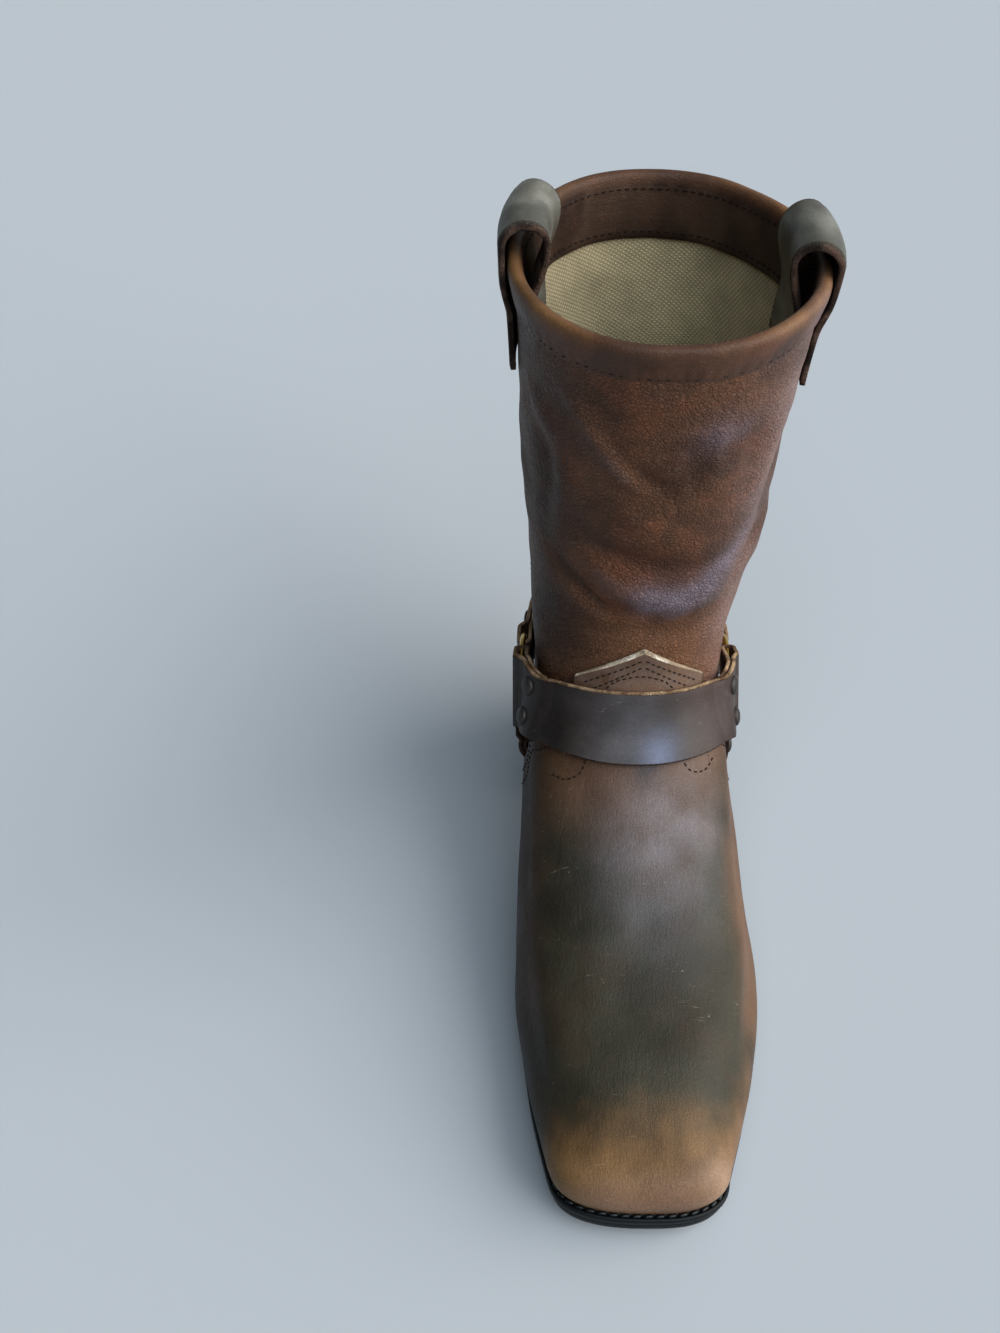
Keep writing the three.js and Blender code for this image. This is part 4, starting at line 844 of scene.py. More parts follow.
def collar_pieces():
    """The rolled binding: a short leg outside that thins out to its stitches, and a long leg inside."""
    t = np.arange(330) / 330
    outer = [(13.2, 0.0), (12.4, 0.3), (11, 0.5), (9, 0.85), (6.5, 1.25), (4, 1.6), (2, 1.7), (0.3, 1.55)]
    top = [(-0.9, 1.1), (-1.75, 0.3), (-2.0, -1.0), (-1.8, -2.4), (-1.0, -3.4)]
    inner = [(0.6, -4.0), (3, -4.15), (8, -4.1), (16, -4.05), (23, -4.0), (25.6, -3.75), (26.2, -2.5)]
    lines, uvs = [], []
    for depth, height in outer + top + inner:
        v = np.full(t.shape, down(max(depth, 0)))
        wave = 0.18 * value_noise(surf(v, t), 9, 41) * (1 if depth > 0 else 0.6)
        if height > 0:
            pucker = 0.25 * float(bump(depth, 9.8, 2.0))
            wave = wave + pucker * np.sin(t * 2 * math.pi * 74 + 2 * np.sin(t * 40))
        lines.append(skin(v, t, height + wave) + up_at(v, t) * max(-depth, 0))
        uvs.append(np.stack([t * GIRTH, np.full(t.shape, 400 - depth + (60 if height < -2 else 0))], -1))
    p = np.array(lines)
    worn = smooth(-0.5, 0.4, value_noise(p, 14, 42) + 0.5 * value_noise(p, 5, 43))
    index = np.arange(len(lines))
    rim = np.clip(1 - np.abs(index - 9.5) / 4.5, 0, 1)[:, None]
    inside = (index > 13)[:, None]
    side = np.abs(np.abs(turn_of(t)) - 0.25)[None]
    colour = wall_paint(1.0, np.broadcast_to(t, p.shape[:2]), p, 0 * p[..., 0])
    colour = mixed(colour, rgb(50, 34, 26), 0.35 + 0.3 * (1 - worn))
    colour = mixed(colour, rgb(122, 88, 54), 0.85 * rim * smooth(0.22, 0.1, side) * (0.55 + 0.45 * worn))
    colour = mixed(colour, mixed(rgb(44, 31, 25), rgb(64, 48, 38), worn), 0.9 * inside)
    roll = sheet_part(p, np.array(uvs), colour, wrap=True)
    build("collar_roll", [roll], binding_leather, ["collar_binding"])
    t = np.linspace(0, 1, 500)
    rows = [stitch_row(np.full(500, down(11.6)), t, 0.2, 3.3, 2.2, 0.3, 0.1)]
    for depth in (4.5, 22.5):
        rows.append(stitch_row(np.full(500, down(depth)), t, -4.2, 3.3, 2.3, 0.33, 0.3, inward=True))
    build("collar_stitches", rows, thread)


def vamp_stitches():
    """Two rows under the tab's edge, the arcs below the instep strap, and two rows along the other edges."""
    rows = []

    def row(v, t, over):
        rows.append(stitch_row(v, t, OVERLAY_GAP + OVERLAY + over))
    peak = VAMP_EDGE[5]
    for inset in (3.2, 6.6):
        for corner in VAMP_EDGE[[4, 6]]:
            k = np.linspace(0.02, 0.98, 60)
            t, v = lerp(peak[0], corner[0], k), lerp(peak[1], corner[1], k) - inset / BODY / math.cos(0.45)
            keep = np.abs(t) < abs(corner[0]) - 0.012 * inset / 3
            row(v[keep], t[keep], 0.1 + tab_rise(v[keep]))
    arc = [(-0.05, 0.452), (-0.03, 0.47), (0.0, 0.478), (0.03, 0.47), (0.05, 0.452)]
    low_left = [(-0.062, 0.385), (-0.07, 0.364), (-0.09, 0.348), (-0.112, 0.341)]
    low_right = [(0.05, 0.385), (0.062, 0.368), (0.085, 0.358), (0.104, 0.36)]
    scale = np.array([GIRTH, 360.0])
    for line in (arc, low_left, low_right):
        t, v = (curve_through(np.array(line) * scale, 40) / scale).T
        row(v, t, 0.1 + tab_rise(v))
    t = np.linspace(SEAM_T + 0.004, 1 - SEAM_T - 0.004, 300)
    for inset in (2.6, 5.4):
        row(counter_top(t) - inset / BODY, t, 0.05)
    k = np.linspace(0.03, 2.95, 160)
    for side, line in ((-1, VAMP_EDGE[:4]), (1, VAMP_EDGE[:6:-1])):
        t, v = (np.interp(k, range(4), line[:, i]) for i in range(2))
        for inset in (2.6, 5.6):
            row(v - 0.3 * inset / BODY, t - side * inset / 290, 0.05)
    build("vamp_stitches", rows, thread)


# Strips of leather: a grid of middle points, n along and m across, made into a closed band.
def spread(half):
    """Places across a strap, with a narrow strip at each edge."""
    return np.concatenate([[-half], np.linspace(0.9 - half, half - 0.9, COLUMNS - 2), [half]])


def strip_part(middle, thickness, face, back, edge, low_edge, outer):
    """The face lies on the side that looks away from the boot's middle at the line number outer."""
    middle = floats(middle)
    n, m = middle.shape[:2]
    centre = middle[outer, m // 2]
    facing = np.cross(middle[outer + 1, m // 2] - centre, middle[outer, m // 2 + 1] - centre)
    inner = np.array([0, -40 if abs(centre[0]) < 30 else centre[1], 80])
    if (facing * (centre - inner))[:2].sum() < 0:
        middle = middle[:, ::-1]
    across = np.gradient(middle, axis=1)
    normal = unit(np.cross(np.gradient(middle, axis=0), across))
    half = thickness / 2
    high, low = (1, 3) if middle[outer, -1, 2] >= middle[outer, 0, 2] else (3, 1)

    def flat_side(j, sign):
        return middle[:, j] + sign * normal[:, j] * half * (0.8 if j in (0, m - 1) else 1.0)

    def round_side(j, sign):
        out = unit(across[:, j]) * sign
        turns = [math.radians(a) for a in (35, 65, 90, 115, 145)[::sign]]
        return [middle[:, j] + normal[:, j] * half * math.cos(a) + out * half * 0.5 * math.sin(a)
                for a in turns]
    columns = [flat_side(j, 1) for j in range(m)] + round_side(m - 1, 1)
    columns += [flat_side(j, -1) for j in range(m - 1, -1, -1)] + round_side(0, -1)
    kinds = np.array([0] * m + [high] * 5 + [2] * m + [low] * 5)
    loop = np.stack(columns, 1)
    order = np.array([*range(m), *[m - 1] * 5, *range(m - 1, -1, -1), *[0] * 5])
    capped = np.concatenate([middle[:1, order], loop, middle[-1:, order]])
    kinds[m - 1 if high == 1 else 0] = 1
    paint = np.empty(capped.shape)
    for kind, colour in enumerate((face, edge, back, low_edge)):
        chosen = np.nonzero(kinds == kind)[0]
        paint[:, chosen] = colour(capped[:, chosen])
    paint[0] = paint[-1] = edge(capped[0])
    step = running(middle[:, m // 2])
    u, w = np.meshgrid(np.concatenate([[-1], step, [step[-1] + 1]]), running(loop[n // 2]), indexing="ij")
    rough = np.tile((kinds >= 1) | (np.roll(kinds, -1) >= 1), (n + 1, 1))
    rough[0] = rough[-1] = True
    return (*sheet_part(capped, np.stack([u, w], -1), paint, wrap=True), rough.ravel().astype(int))


# The harness. Each ring lies in a plane of its own that stands off the upper by the strap under it.
RING_STAND = STRAP + 0.5 + GAP + RING_WIRE / 2
FOLD_RADIUS = RING_WIRE / 2 + GAP + STRAP / 2
STRAP_GAP = 0.5
LAYER_STEP = STRAP + GAP
OVERLAY_STEP = OVERLAY_GAP + OVERLAY
PAST_RING = RING_RADIUS + RING_WIRE / 2 + 0.5


class Frame:
    def __init__(self, side):
        self.side = side

        def sample(forward, up):
            return surf(*place_on_side(side, RING_FORWARD + floats(forward), RING_HEIGHT + floats(up)))
        reach = RING_RADIUS + 2
        level = sample(reach, 0) - sample(-reach, 0)
        normal = unit(np.cross(sample(0, reach) - sample(0, -reach), level))
        self.normal = normal * (1 if normal[0] * side > 0 else -1)
        a = np.radians(30 * np.arange(12))
        centre = sample(0, 0)
        highest = max(0, ((sample(reach * np.cos(a), reach * np.sin(a)) - centre) @ self.normal).max())
        self.centre = centre + self.normal * (highest + RING_STAND)


FRAMES = {"lateral": Frame(1), "medial": Frame(-1)}


def hugging(v, t, layer, share, extra=0.0):
    under = np.asarray(share) * OVERLAY_STEP + STRAP_GAP + STRAP / 2
    return raised(v, t, under + np.asarray(layer) * LAYER_STEP + 0.6 + extra)


def share_under(kind, out):
    return 0.0 * np.asarray(out) if kind == "heel" else smooth(PAST_RING, PAST_RING + 5, out)


def strap_place(frame, kind, out, across):
    a = math.radians(ANGLES[kind])
    bow = BOW if kind == "instep" else 0.0
    forward = RING_FORWARD + out * math.cos(a) - across * math.sin(a)
    return forward, RING_HEIGHT + out * math.sin(a) + across * math.cos(a) - bow * out * out


def strap_point(frame, kind, out, across, layer):
    out, across = np.broadcast_arrays(floats(out), floats(across))
    if kind == "instep":
        across = across + 5.0 * smooth(37, 20, out) * np.clip(across / 14, 0, 1) ** 1.5
    forward, z = strap_place(frame, kind, out, across)
    v, t = place_on_side(frame.side, forward, np.maximum(z, sole_top(forward) + SEAT))
    low = share_under(kind, out) * OVERLAY_STEP - FOLD_RADIUS
    height = low if layer == 0 else lerp(FOLD_RADIUS, low + LAYER_STEP, smooth(PAST_RING, PAST_RING + 4, out))
    p = surf(v, t)
    flat = p + frame.normal * (height - (p - frame.centre) @ frame.normal)[..., None]
    k = smooth(PAST_RING, PAST_RING + 4, out)[..., None]
    return flat * (1 - k) + hugging(v, t, layer, share_under(kind, out)) * k


def fold_lines(frame, kind, half):
    centre = math.sqrt(RING_RADIUS**2 - half**2) - 0.8
    columns = spread(half)
    outs = np.linspace(PAST_RING, STRAP_END, 12)
    under, over = strap_point(frame, kind, centre, columns, 0), strap_point(frame, kind, centre, columns, 1)
    inwards = unit(strap_point(frame, kind, centre - 4, columns, 0) - under)
    middle = (under + over) / 2
    lines = [strap_point(frame, kind, out, columns, 0) for out in outs[::-1]]
    for bend in np.linspace(0, math.pi, 11):
        bent = inwards * FOLD_RADIUS * math.sin(bend) - frame.normal * FOLD_RADIUS * math.cos(bend)
        lines.append(middle + bent)
    return lines + [strap_point(frame, kind, out, columns, 1) for out in outs]


def strap_face(p):
    """Black brown oiled leather, with a painted grey-blue sheen and a painted bluish highlight at the front
    of the instep strap, and light specks.
    """
    n1, n2, n3 = value_noise(p, 22, 51), value_noise(p, 8, 52), value_noise(p, 2.4, 53)
    colour = mixed(rgb(38, 31, 29), rgb(58, 50, 47), smooth(-0.6, 0.6, n1 + 0.5 * n2))
    colour = mixed(colour, rgb(56, 36, 28), 0.5 * smooth(0.0, 0.7, value_noise(p, 30, 54)))
    x, y, z = p[..., 0], p[..., 1], p[..., 2]
    front = smooth(-70, -84, y) * smooth(160, 150, z)
    # Painted sheen: a grey-blue band across the front of the instep strap.
    colour = mixed(colour, rgb(92, 92, 98), front * 0.3 * np.exp(-(((x + 6) / 15) ** 2)) * (0.8 + 0.4 * n2))
    # Painted highlight: a bluish spot low on the front of the instep strap, a little to the outer side.
    shine = np.exp(-(((x - 8) / 7.5) ** 2) - ((z - 106) / 6) ** 2)
    colour = mixed(colour, rgb(112, 122, 150), front * 0.5 * shine)
    colour = mixed(colour, rgb(15, 10, 7), 0.85 * smooth(-22, -36, x) * smooth(-40, -60, y))
    colour = mixed(colour, rgb(54, 38, 32), 0.6 * smooth(17, 32, x) * smooth(-40, -60, y))
    return mixed(colour, rgb(92, 84, 78), 0.3 * smooth(0.5, 0.9, n3 * (0.7 + 0.5 * n2)))


def raw_edge(p):
    lumps = value_noise(p, 5, 55) + 0.6 * value_noise(p, 1.6, 56)
    return mixed(rgb(112, 84, 60), rgb(184, 154, 120), smooth(-0.5, 0.6, lumps))


# The lower raw edge of a strap, painted darker than the upper one: painted shade where it faces down.
def painted_shade_edge(p):
    return mixed(rgb(40, 28, 22), rgb(70, 50, 38), smooth(-0.5, 0.6, value_noise(p, 5, 59)))


def raw_back(p):
    return mixed(rgb(74, 52, 42), rgb(104, 76, 62), smooth(-0.5, 0.6, value_noise(p, 7, 57)))


def long_strap(kind, over_front, stations):
    half = WIDTHS[kind] / 2
    a = math.radians(ANGLES[kind])
    bow = BOW if kind == "instep" else 0.0
    columns = spread(half)
    ends = [fold_lines(frame, kind, half) for frame in FRAMES.values()]
    starts = []
    for frame in FRAMES.values():
        forward, z = strap_place(frame, kind, np.full(COLUMNS, STRAP_END), columns)
        starts.append(place_on_side(frame.side, forward, z)[1])
    starts[1] = starts[1] - (1 if over_front else 0)
    k = np.arange(1, stations)[:, None] / stations
    t = lerp(starts[0][None], starts[1][None], k)
    sag = 0.16 * np.sin(math.pi * k) ** 2 if kind == "instep" else 0 * k
    across = columns * (1 + sag * (columns < 0))
    upwards = 1 if math.cos(a) > 0 else -1

    def offset(p):
        forward, height = forward_of(p) - RING_FORWARD, p[..., 2] - RING_HEIGHT
        out = forward * math.cos(a) + height * math.sin(a)
        return -forward * math.sin(a) + (height + bow * out * out) * math.cos(a)
    v = bisect(np.zeros(t.shape), np.ones(t.shape),
               lambda x: upwards * offset(surf(x, t)) < upwards * across)
    i = np.arange(1, stations)[:, None]
    settled = smooth(0, 7, np.minimum(i, stations - i))
    wave = 0.35 * value_noise(surf(v, t), 32, 58)
    lines = hugging(v, t, 1 - settled, 1.0 if over_front else 0.0, wave * settled)
    return np.concatenate([np.array(ends[0]), lines, np.array(ends[1])[::-1]])


def sole_strap(frame):
    half = WIDTHS["sole"] / 2
    columns = spread(half)
    lines = fold_lines(frame, "sole", half)

    def above(out):
        forward, z = strap_place(frame, "sole", out, columns)
        return z > sole_top(forward) + 2 * GAP
    end = bisect(np.full(COLUMNS, STRAP_END), np.full(COLUMNS, STRAP_END + 40), above)
    for k in np.linspace(0, 1, 19)[1:]:
        out = lerp(STRAP_END, end, k)
        forward, z = strap_place(frame, "sole", out, columns)
        v, t = place_on_side(frame.side, forward, np.maximum(z, sole_top(forward) + SEAT))
        lines.append(hugging(v, t, 1 - smooth(0, 0.62, k), 1.0))
    return np.array(lines)


def lathe(profile, centre, axis, around=28, colour=(0.02, 0.02, 0.02)):
    axis = unit(floats(axis))
    side = unit(np.cross(axis, [0.3, 0.5, 0.81]))
    other = np.cross(axis, side)
    ring = np.cos(circle(around))[:, None] * side + np.sin(circle(around))[:, None] * other
    p = np.array([centre + axis * h + ring * max(r, 0.001) for r, h in profile])
    u, w = np.meshgrid(np.arange(len(profile)) * 1.0, circle(around) * 4, indexing="ij")
    return sheet_part(p, np.stack([w, u], -1), floats(colour), wrap=True)


def strap_piece(name, lines, outer, replaces):
    band = strip_part(lines, STRAP, strap_face, raw_back, raw_edge, painted_shade_edge, outer)
    build(name, [band], strap_leather, [replaces], second=raw_leather)


def ring_wire(name, frame):
    side = unit(np.cross(frame.normal, [0, 0, 1]))
    up = np.cross(side, frame.normal)
    a, b = np.meshgrid(circle(96), circle(14), indexing="ij")
    around = np.cos(a)[..., None] * side + np.sin(a)[..., None] * up
    p = frame.centre + around * (RING_RADIUS + RING_WIRE / 2 * np.cos(b))[..., None]
    p = p + frame.normal * (RING_WIRE / 2 * np.sin(b))[..., None]
    uv = np.stack(np.meshgrid(np.arange(97) * 1.35, np.arange(14) * 0.6, indexing="ij"), -1)
    wire = sheet_part(np.concatenate([p, p[:1]]), uv, rgb(150, 120, 60), wrap=True)
    build("ring_wire_" + name, [wire], brass, ["ring_" + name])


def rivet_cap(frame, kind, name, number):
    across = (1, -1)[number - 1] * RIVET_SPACING / 2
    outs = RIVET_PLACE + floats([-3, 3, 0, 0, 0])
    spots = strap_point(frame, kind, outs, across + np.array([0, 0, -3, 3, 0]), 1)
    facing = unit(np.cross(spots[1] - spots[0], spots[3] - spots[2]))
    facing = facing * (1 if facing @ frame.normal > 0 else -1)
    r, h = RIVET_RADIUS, RIVET_RISE + 0.3
    dome = [(1, 0.12), (0.97, 0.28), (0.88, 0.5), (0.72, 0.72), (0.5, 0.88), (0.25, 0.97), (0, 1)]
    profile = [(r, -0.9)] + [(a * r, b * h) for a, b in dome]
    dome = lathe(profile, spots[4] + facing * (STRAP / 2 + 0.1), facing)
    ending = f"{kind}_{name}_{number}"
    build("rivet_cap_" + ending, [dome], dark_metal, ["rivet_" + ending])


def harness_pieces():
    for kind, over_front, stations in (("instep", True, 90), ("heel", False, 80)):
        lines = long_strap(kind, over_front, stations)
        strap_piece(kind + "_band", lines, 35 + stations // 2, kind + "_strap")
    for name, frame in FRAMES.items():
        strap_piece("sole_band_" + name, sole_strap(frame), 50, "sole_strap_" + name)
        ring_wire(name, frame)
        for kind in ANGLES:
            for number in (1, 2):
                rivet_cap(frame, kind, name, number)


# The pull straps: place round the boot and height of the loop over the rim, then their sizes.
PULLS = {"lateral": (0.25, 4.0), "medial": (1 - 0.28, 7.0)}
PULL_WIDTH, PULL, PULL_RADIUS = 38.0, 2.6, 8.5


def pull_face(p):
    n1, n2 = value_noise(p, 18, 61), value_noise(p, 5, 62)
    colour = mixed(rgb(66, 65, 58), rgb(104, 103, 94), smooth(-0.6, 0.6, n1 + 0.5 * n2))
    return mixed(colour, rgb(58, 44, 37), 0.5 * smooth(0.1, 0.8, value_noise(p, 12, 63)))


def fuzzy(p):
    lumps = value_noise(p, 4, 64) + 0.6 * value_noise(p, 1.4, 65)
    return mixed(rgb(38, 27, 22), rgb(96, 74, 62), smooth(-0.5, 0.6, lumps))


def pull_pieces():
    for name, (centre, stand) in PULLS.items():
        per_turn = float(np.linalg.norm(surf(1, centre + 0.01) - surf(1, centre - 0.01))) / 0.02
        t = centre + np.linspace(-0.5, 0.5, 13) * PULL_WIDTH / per_turn
        outside = 2 * GAP + 1.3 + PULL / 2
        inside = -WALL - outside
        lines = []
        for depth in np.linspace(45, 5, 16):
            height = lerp(PULL / 2 + 0.7, outside + 0.5, float(smooth(22, 8, depth)))
            lines.append(raised(down(depth), t, height))
        rim = surf(1, t)
        up = unit(rim - surf(down(12), t))
        normal = outward(0.999, t)
        normal = unit(normal - (normal * up).sum(-1, keepdims=True) * up)

        def in_frame(lift, height):
            return rim + normal * lift + up * height
        lines.append(in_frame(outside + 0.3, 0))
        for bend in np.linspace(0, math.pi, 15):
            lift = outside - PULL_RADIUS * (1 - math.cos(bend))
            lines.append(in_frame(lift, stand + PULL_RADIUS * math.sin(bend)))
        end = outside - 2 * PULL_RADIUS
        for k in np.linspace(0, 1, 9)[1:]:
            lines.append(in_frame(lerp(end, inside - 0.3, smooth(0, 1, k)), lerp(stand, -22, k)))
        lines += [raised(down(depth), t, inside - 0.3) for depth in (26, 31, 36, 40)]
        strip = strip_part(np.array(lines), PULL, pull_face, fuzzy, fuzzy, fuzzy, 3)
        build("pull_loop_" + name, [strip], strap_leather, ["pull_strap_" + name],
              second=raw_leather)
        v, rows = down(np.linspace(43, 24, 30)), []
        for share in (-0.4, 0.4):
            at = centre + share * PULL_WIDTH / per_turn
            rows.append(stitches(raised(v, at, PULL + 0.45), outward(v, at), 3.2, 2.2, 0.3, -0.2))
        build("pull_stitches_" + name, rows, thread)


def seam_pieces():
    for name, centre in (("lateral", 0.31), ("medial", 0.69)):
        foot = float(way_up(centre, RING_HEIGHT + RING_RADIUS + 9))
        v = np.linspace(foot, float(down(47)), 90)
        per_turn = np.linalg.norm(surf(v, centre + 0.005) - surf(v, centre - 0.005), axis=-1) / 0.01
        profile = [(-2.7, -0.2), (-2.5, 0.7), (-2.1, 1.1), (0, 1.15), (2.1, 1.0), (2.6, 0.55), (2.8, -0.2)]
        p = np.stack([skin(v, centre + x / per_turn, h) for x, h in profile], 1)
        paint = wall_paint(v[:, None], centre, p, 0 * p[..., 0] + 0.4)
        paint = mixed(paint, rgb(112, 82, 58), np.broadcast_to([0.9, 0.8, 0.2, 0, 0, 0, 0], p.shape[:2]))
        w, u = np.meshgrid(v * BODY, np.arange(7.0), indexing="ij")
        strip = sheet_part(p, np.stack([u, w], -1), paint, flip=True)
        build("seam_strip_" + name, [strip], shaft_leather, ["side_seam_" + name])
        row = stitches(skin(v, centre + 0.6 / per_turn, 1.15), outward(v, centre), 3.0, 2.1, 0.32, 0.3)
        build("seam_stitches_" + name, [row], thread)


# The sole. Each layer follows the upper's lowest loop, moved outwards in plan by its own reach.
def sole_point(t, extra):
    t = floats(t)
    along = surf(0, t + 0.004) - surf(0, t - 0.004)
    facing = unit(np.stack([along[..., 1], -along[..., 0], 0 * t], -1))
    p = surf(0, t)
    welt = lerp(4.2, 5.4, smooth(0.7 * SOLE, 0.92 * SOLE, forward_of(p)))
    reach = 0.0 if extra is None else welt + floats(extra)
    return p + facing * np.broadcast_to(reach, t.shape)[..., None], facing


def levelled(p, rise):
    p = p.copy()
    p[..., 2] = sole_rise(forward_of(p)) + rise
    return p


LOOP = np.arange(360) / 360


def sole_rings(profile):
    return np.array([levelled(sole_point(LOOP, extra)[0], rise) for extra, rise in profile])


def inside_ring(depth, rise):
    p, facing = sole_point(LOOP, None)
    return levelled(p - facing * depth, rise)


def cap(ring):
    """Rows from side to side that close a ring."""
    n = len(ring)
    steps = np.arange(n // 2 + 1)
    left, right = ring[steps % n], ring[(n - steps) % n]
    return np.stack([left + (right - left) * k for k in np.linspace(0, 1, 15)], 1)


BLACK = rgb(24, 26, 28)


def flat_part(p, colour=BLACK, **how):
    return sheet_part(p, p[..., :2], colour, **how)


def treading(bottom):
    part = flat_part(bottom)
    return (*part, np.ones(len(part[1]), int))


def sole_pieces():
    lip, rounding = 1.4, 1.8
    profile = [(-lip - rounding, 0), (-lip - 0.55 * rounding, 0.12 * rounding),
               (-lip - 0.2 * rounding, 0.42 * rounding), (-lip, rounding), (-lip + 0.1, 3.2), (-lip, 4.4),
               (-lip - 0.25, OUTSOLE - 0.3), (-lip - 0.8, OUTSOLE)]
    p = sole_rings(profile)
    top, bottom = levelled(cap(p[-1]), OUTSOLE), levelled(cap(p[0]), 0)
    parts = [flat_part(p, wrap=True), treading(bottom), flat_part(top, flip=True)]
    build("outsole_rubber", parts, rubber, ["outsole"], second=treaded)
    under = OUTSOLE + GAP
    profile = [(-1.2, under), (-0.3, under + 0.25), (0, under + 0.8), (0, under + 0.72 * WELT),
               (-0.35, under + 0.93 * WELT), (-1.0, STACK), (-1.3, STACK - 0.05), (-1.55, STACK - 0.6),
               (-2.9, STACK - 0.65), (-3.2, STACK - 0.1), (-4.2, STACK), (-6.5, STACK)]
    p = sole_rings(profile)
    p = np.concatenate([p, [inside_ring(WALL + 1, STACK), inside_ring(WALL + 1, under)], p[:1]])
    build("welt_strip", [flat_part(p, rgb(14, 18, 22), wrap=True)], rubber, ["welt"])
    line = levelled(sole_point(np.linspace(-0.36, 0.36, 900), -2.2)[0], STACK - 0.3)
    row = stitches(line, np.broadcast_to([0.0, 0.0, 1.0], line.shape), 4.5, 4.1, 0.95, 0.35, turn=0.14)
    build("welt_stitches", [row], black_thread)
    edge = WALL + 1 + GAP
    p = np.array([inside_ring(edge, under), inside_ring(edge, STACK), inside_ring(edge, STACK + 2.6),
                  inside_ring(edge + 0.5, STACK + INSOLE)])
    top, bottom = levelled(cap(p[-1]), STACK + INSOLE), levelled(cap(p[0]), under)
    tan = mixed(rgb(104, 78, 50), rgb(140, 110, 76), smooth(-0.5, 0.5, value_noise(top, 25, 71)))
    parts = [flat_part(p, rgb(140, 110, 78), wrap=True), flat_part(top, tan, flip=True),
             flat_part(bottom, rgb(120, 90, 60))]
    build("insole_board", parts, raw_leather, ["insole"])


HEEL_COUNT = 220


def heel_ring(share, height_of):
    """The heel's outline at a share of its taper: two halves of the front and of the round."""
    front = HEEL_LENGTH - 3.0 * share
    extra = -1.4 - 4.0 * share
    breast = HEEL_COUNT // 8
    rounds = HEEL_COUNT // 2 - breast
    b = np.arange(breast) / breast
    halves = []
    for side in (1, -1):
        def at(turn):
            return sole_point(turn if side > 0 else 1 - turn, extra)[0]
        low = bisect(np.array([0.0]), np.array([0.5]), lambda k: forward_of(at(k)) > front)
        round_points = at(lerp(low, 0.5, np.arange(rounds + 1) / rounds))
        forward = HEEL_LENGTH / 2 - (front - 4.0 * (1 - b * b))
        breast_points = np.stack([round_points[0, 0] * b, forward, 0 * b], -1)
        halves.append(np.concatenate([breast_points, round_points]))
    ring = np.concatenate([halves[0], halves[1][1:-1][::-1]])
    ring[:, 2] = height_of(forward_of(ring))
    return ring


def tucked(p, depths):
    """The rings of a heel block, each moved in by its own depth."""
    out = unit((p - p.mean(1, keepdims=True)) * [1, 1, 0])
    return p - out * floats(depths)[:, None, None]


def heel_part(p):
    return sheet_part(p, np.stack([p[..., 0] + p[..., 1], p[..., 2]], -1), BLACK, wrap=True)


def heel_pieces():
    foot, lift, steps = 8.3, 8.0, 8

    def under(f):
        return sole_rise(f) - GAP
    ks, shares = np.arange(steps + 1) / steps, np.linspace(1 - foot / HEEL, 0, steps + 1)
    p = np.array([heel_ring(share, lambda f, k=k: lerp(foot + 0 * f, under(f), k))
                  for k, share in zip(ks, shares)])
    fine = [lerp(p[i], p[i + 1], k) for i in range(steps) for k in (0, 0.25, 0.5, 0.75)]
    p = np.array(fine + [p[-1]])
    grooves = np.zeros(len(p))
    grooves[[11, 22]] = 0.35
    p = tucked(p, grooves)
    top, bottom = cap(p[-1]), cap(p[0])
    top[..., 2], bottom[..., 2] = under(forward_of(top)), foot
    parts = [heel_part(p), flat_part(top, flip=True), flat_part(bottom)]
    build("heel_stack", parts, rubber, ["heel_base"])
    p = tucked(np.array([heel_ring(lerp(1, 1 - lift / HEEL, k), lambda f, k=k: 0 * f + lift * k)
                         for k in (0, 0.04, 0.12, 0.5, 0.9, 1.0)]), [0.7, 0.25, 0, 0, 0, 0.35])
    top, bottom = cap(p[-1]), cap(p[0])
    top[..., 2], bottom[..., 2] = lift, 0
    parts = [heel_part(p), flat_part(top, flip=True), treading(bottom)]
    build("heel_top_lift", parts, rubber, ["heel_lift"], second=treaded)


for pieces_of in (upper_pieces, vamp_pieces, collar_pieces, vamp_stitches, harness_pieces, pull_pieces,
                  seam_pieces, sole_pieces, heel_pieces):
    pieces_of()

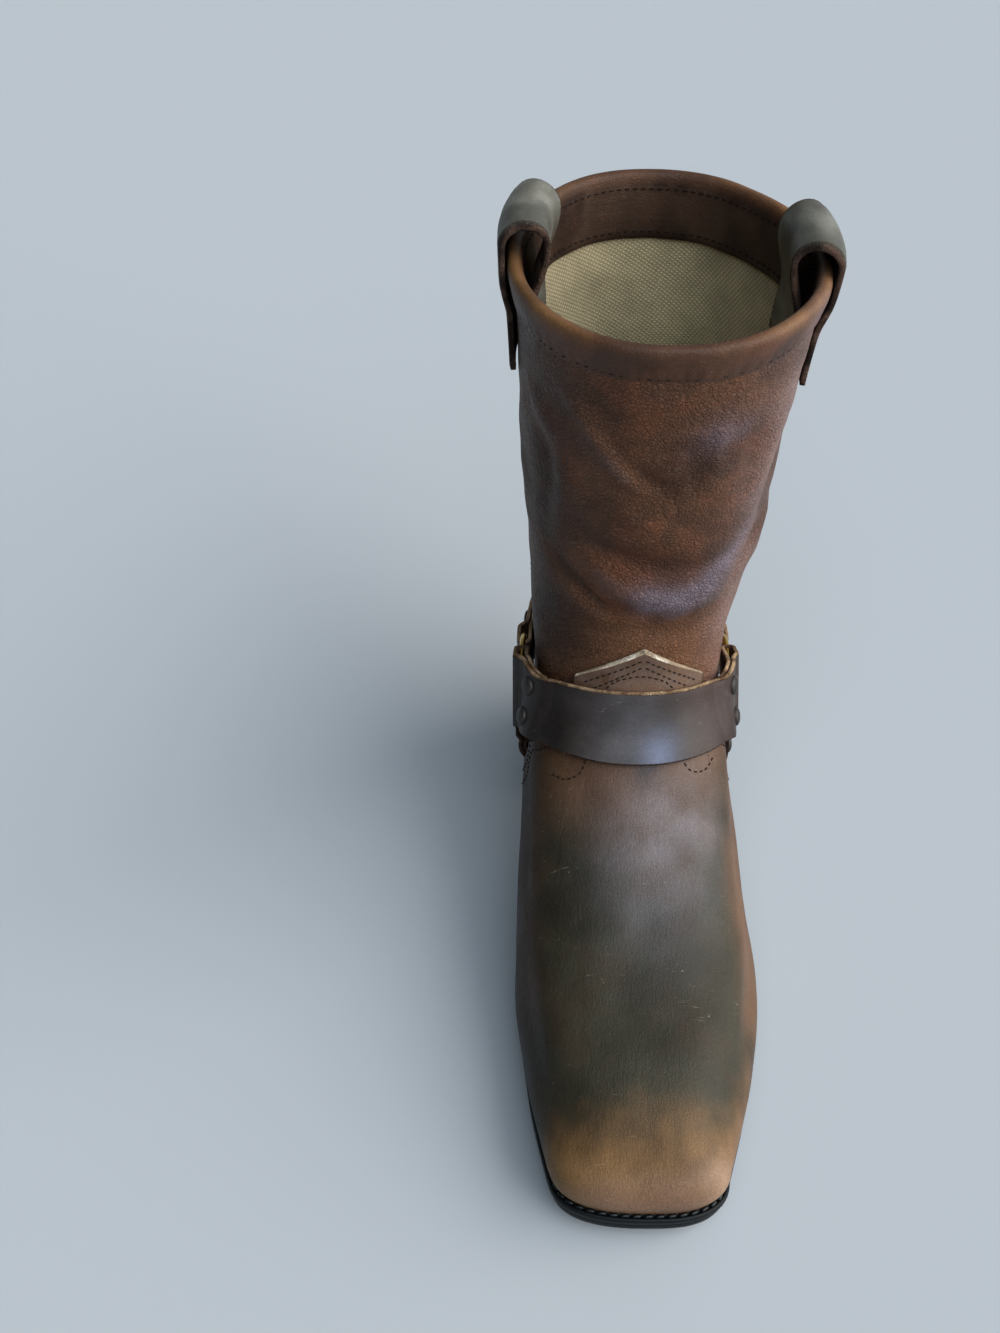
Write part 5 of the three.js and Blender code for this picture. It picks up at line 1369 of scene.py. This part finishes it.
# The stage, the light and the camera.
floor_mesh = bpy.data.meshes.new("floor")
reach = FLOOR_REACH
floor_mesh.from_pydata([(-reach, -reach, 0), (reach, -reach, 0), (reach, reach, 0), (-reach, reach, 0)], [],
                       [(0, 1, 2, 3)])
floor = bpy.data.objects.new("floor", floor_mesh)
bpy.context.collection.objects.link(floor)
floor_paint = Surface("floor_paint").shows({COLOUR: (*rgb(162, 167, 171), 1), ROUGH: 0.95, SHINE: 0.1})
floor_mesh.materials.append(floor_paint)

world = bpy.data.worlds.new("studio")
bpy.context.scene.world = world
world.use_nodes = True
sky = Nodes(world.node_tree)
direction = sky.add("SeparateXYZ", {"Vector": sky.coords("Generated")})
glow = sky.joined("MAXIMUM", sky.ramp(direction["X"], -0.5, 0.9, 0.0, 0.95),
                  sky.ramp(direction["Z"], 0.0, 0.22, 0.58, 0.03))
sky.fill(sky.tree.nodes["Background"].inputs, {"Strength": glow, "Color": (0.86, 0.92, 1.0, 1)})


def soft_sun(name, towards, angle, strength, colour):
    data = bpy.data.lights.new(name, "SUN")
    data.angle, data.energy, data.color = math.radians(angle), strength, colour
    light = bpy.data.objects.new(name, data)
    light.rotation_euler = Vector(towards).to_track_quat("Z", "Y").to_euler()
    light.location = Vector(towards) * 2
    bpy.context.collection.objects.link(light)


soft_sun("key", (0.95, -0.3, 0.62), 70, 4.0, (1.0, 0.95, 0.9))
soft_sun("sky_front", (0.16, -0.62, 1.0), 60, 1.9, (0.74, 0.88, 1.0))

# The camera's angles in radians and its place in metres, from the fit to the photo.
pitch, yaw, roll = 0.764, 0.011, 0.005
place = (-0.0641, -0.5608, 0.5962)
ahead = Vector((math.sin(yaw) * math.cos(pitch), math.cos(yaw) * math.cos(pitch), -math.sin(pitch)))
right = Vector((math.cos(yaw), -math.sin(yaw), 0))
upward = right.cross(ahead)
right, upward = (right * math.cos(roll) + upward * math.sin(roll),
                 upward * math.cos(roll) - right * math.sin(roll))
camera_data = bpy.data.cameras.new("camera")
camera_data.sensor_fit, camera_data.sensor_height, camera_data.lens = "VERTICAL", 36.0, 1600 * 36.0 / 1333
camera_data.clip_start = 0.01
camera = bpy.data.objects.new("camera", camera_data)
rows = [(right[i], upward[i], -ahead[i], place[i]) for i in range(3)]
camera.matrix_world = Matrix((*rows, (0, 0, 0, 1)))
bpy.context.collection.objects.link(camera)
bpy.context.scene.camera = camera
bpy.context.scene.view_settings.view_transform = "Standard"
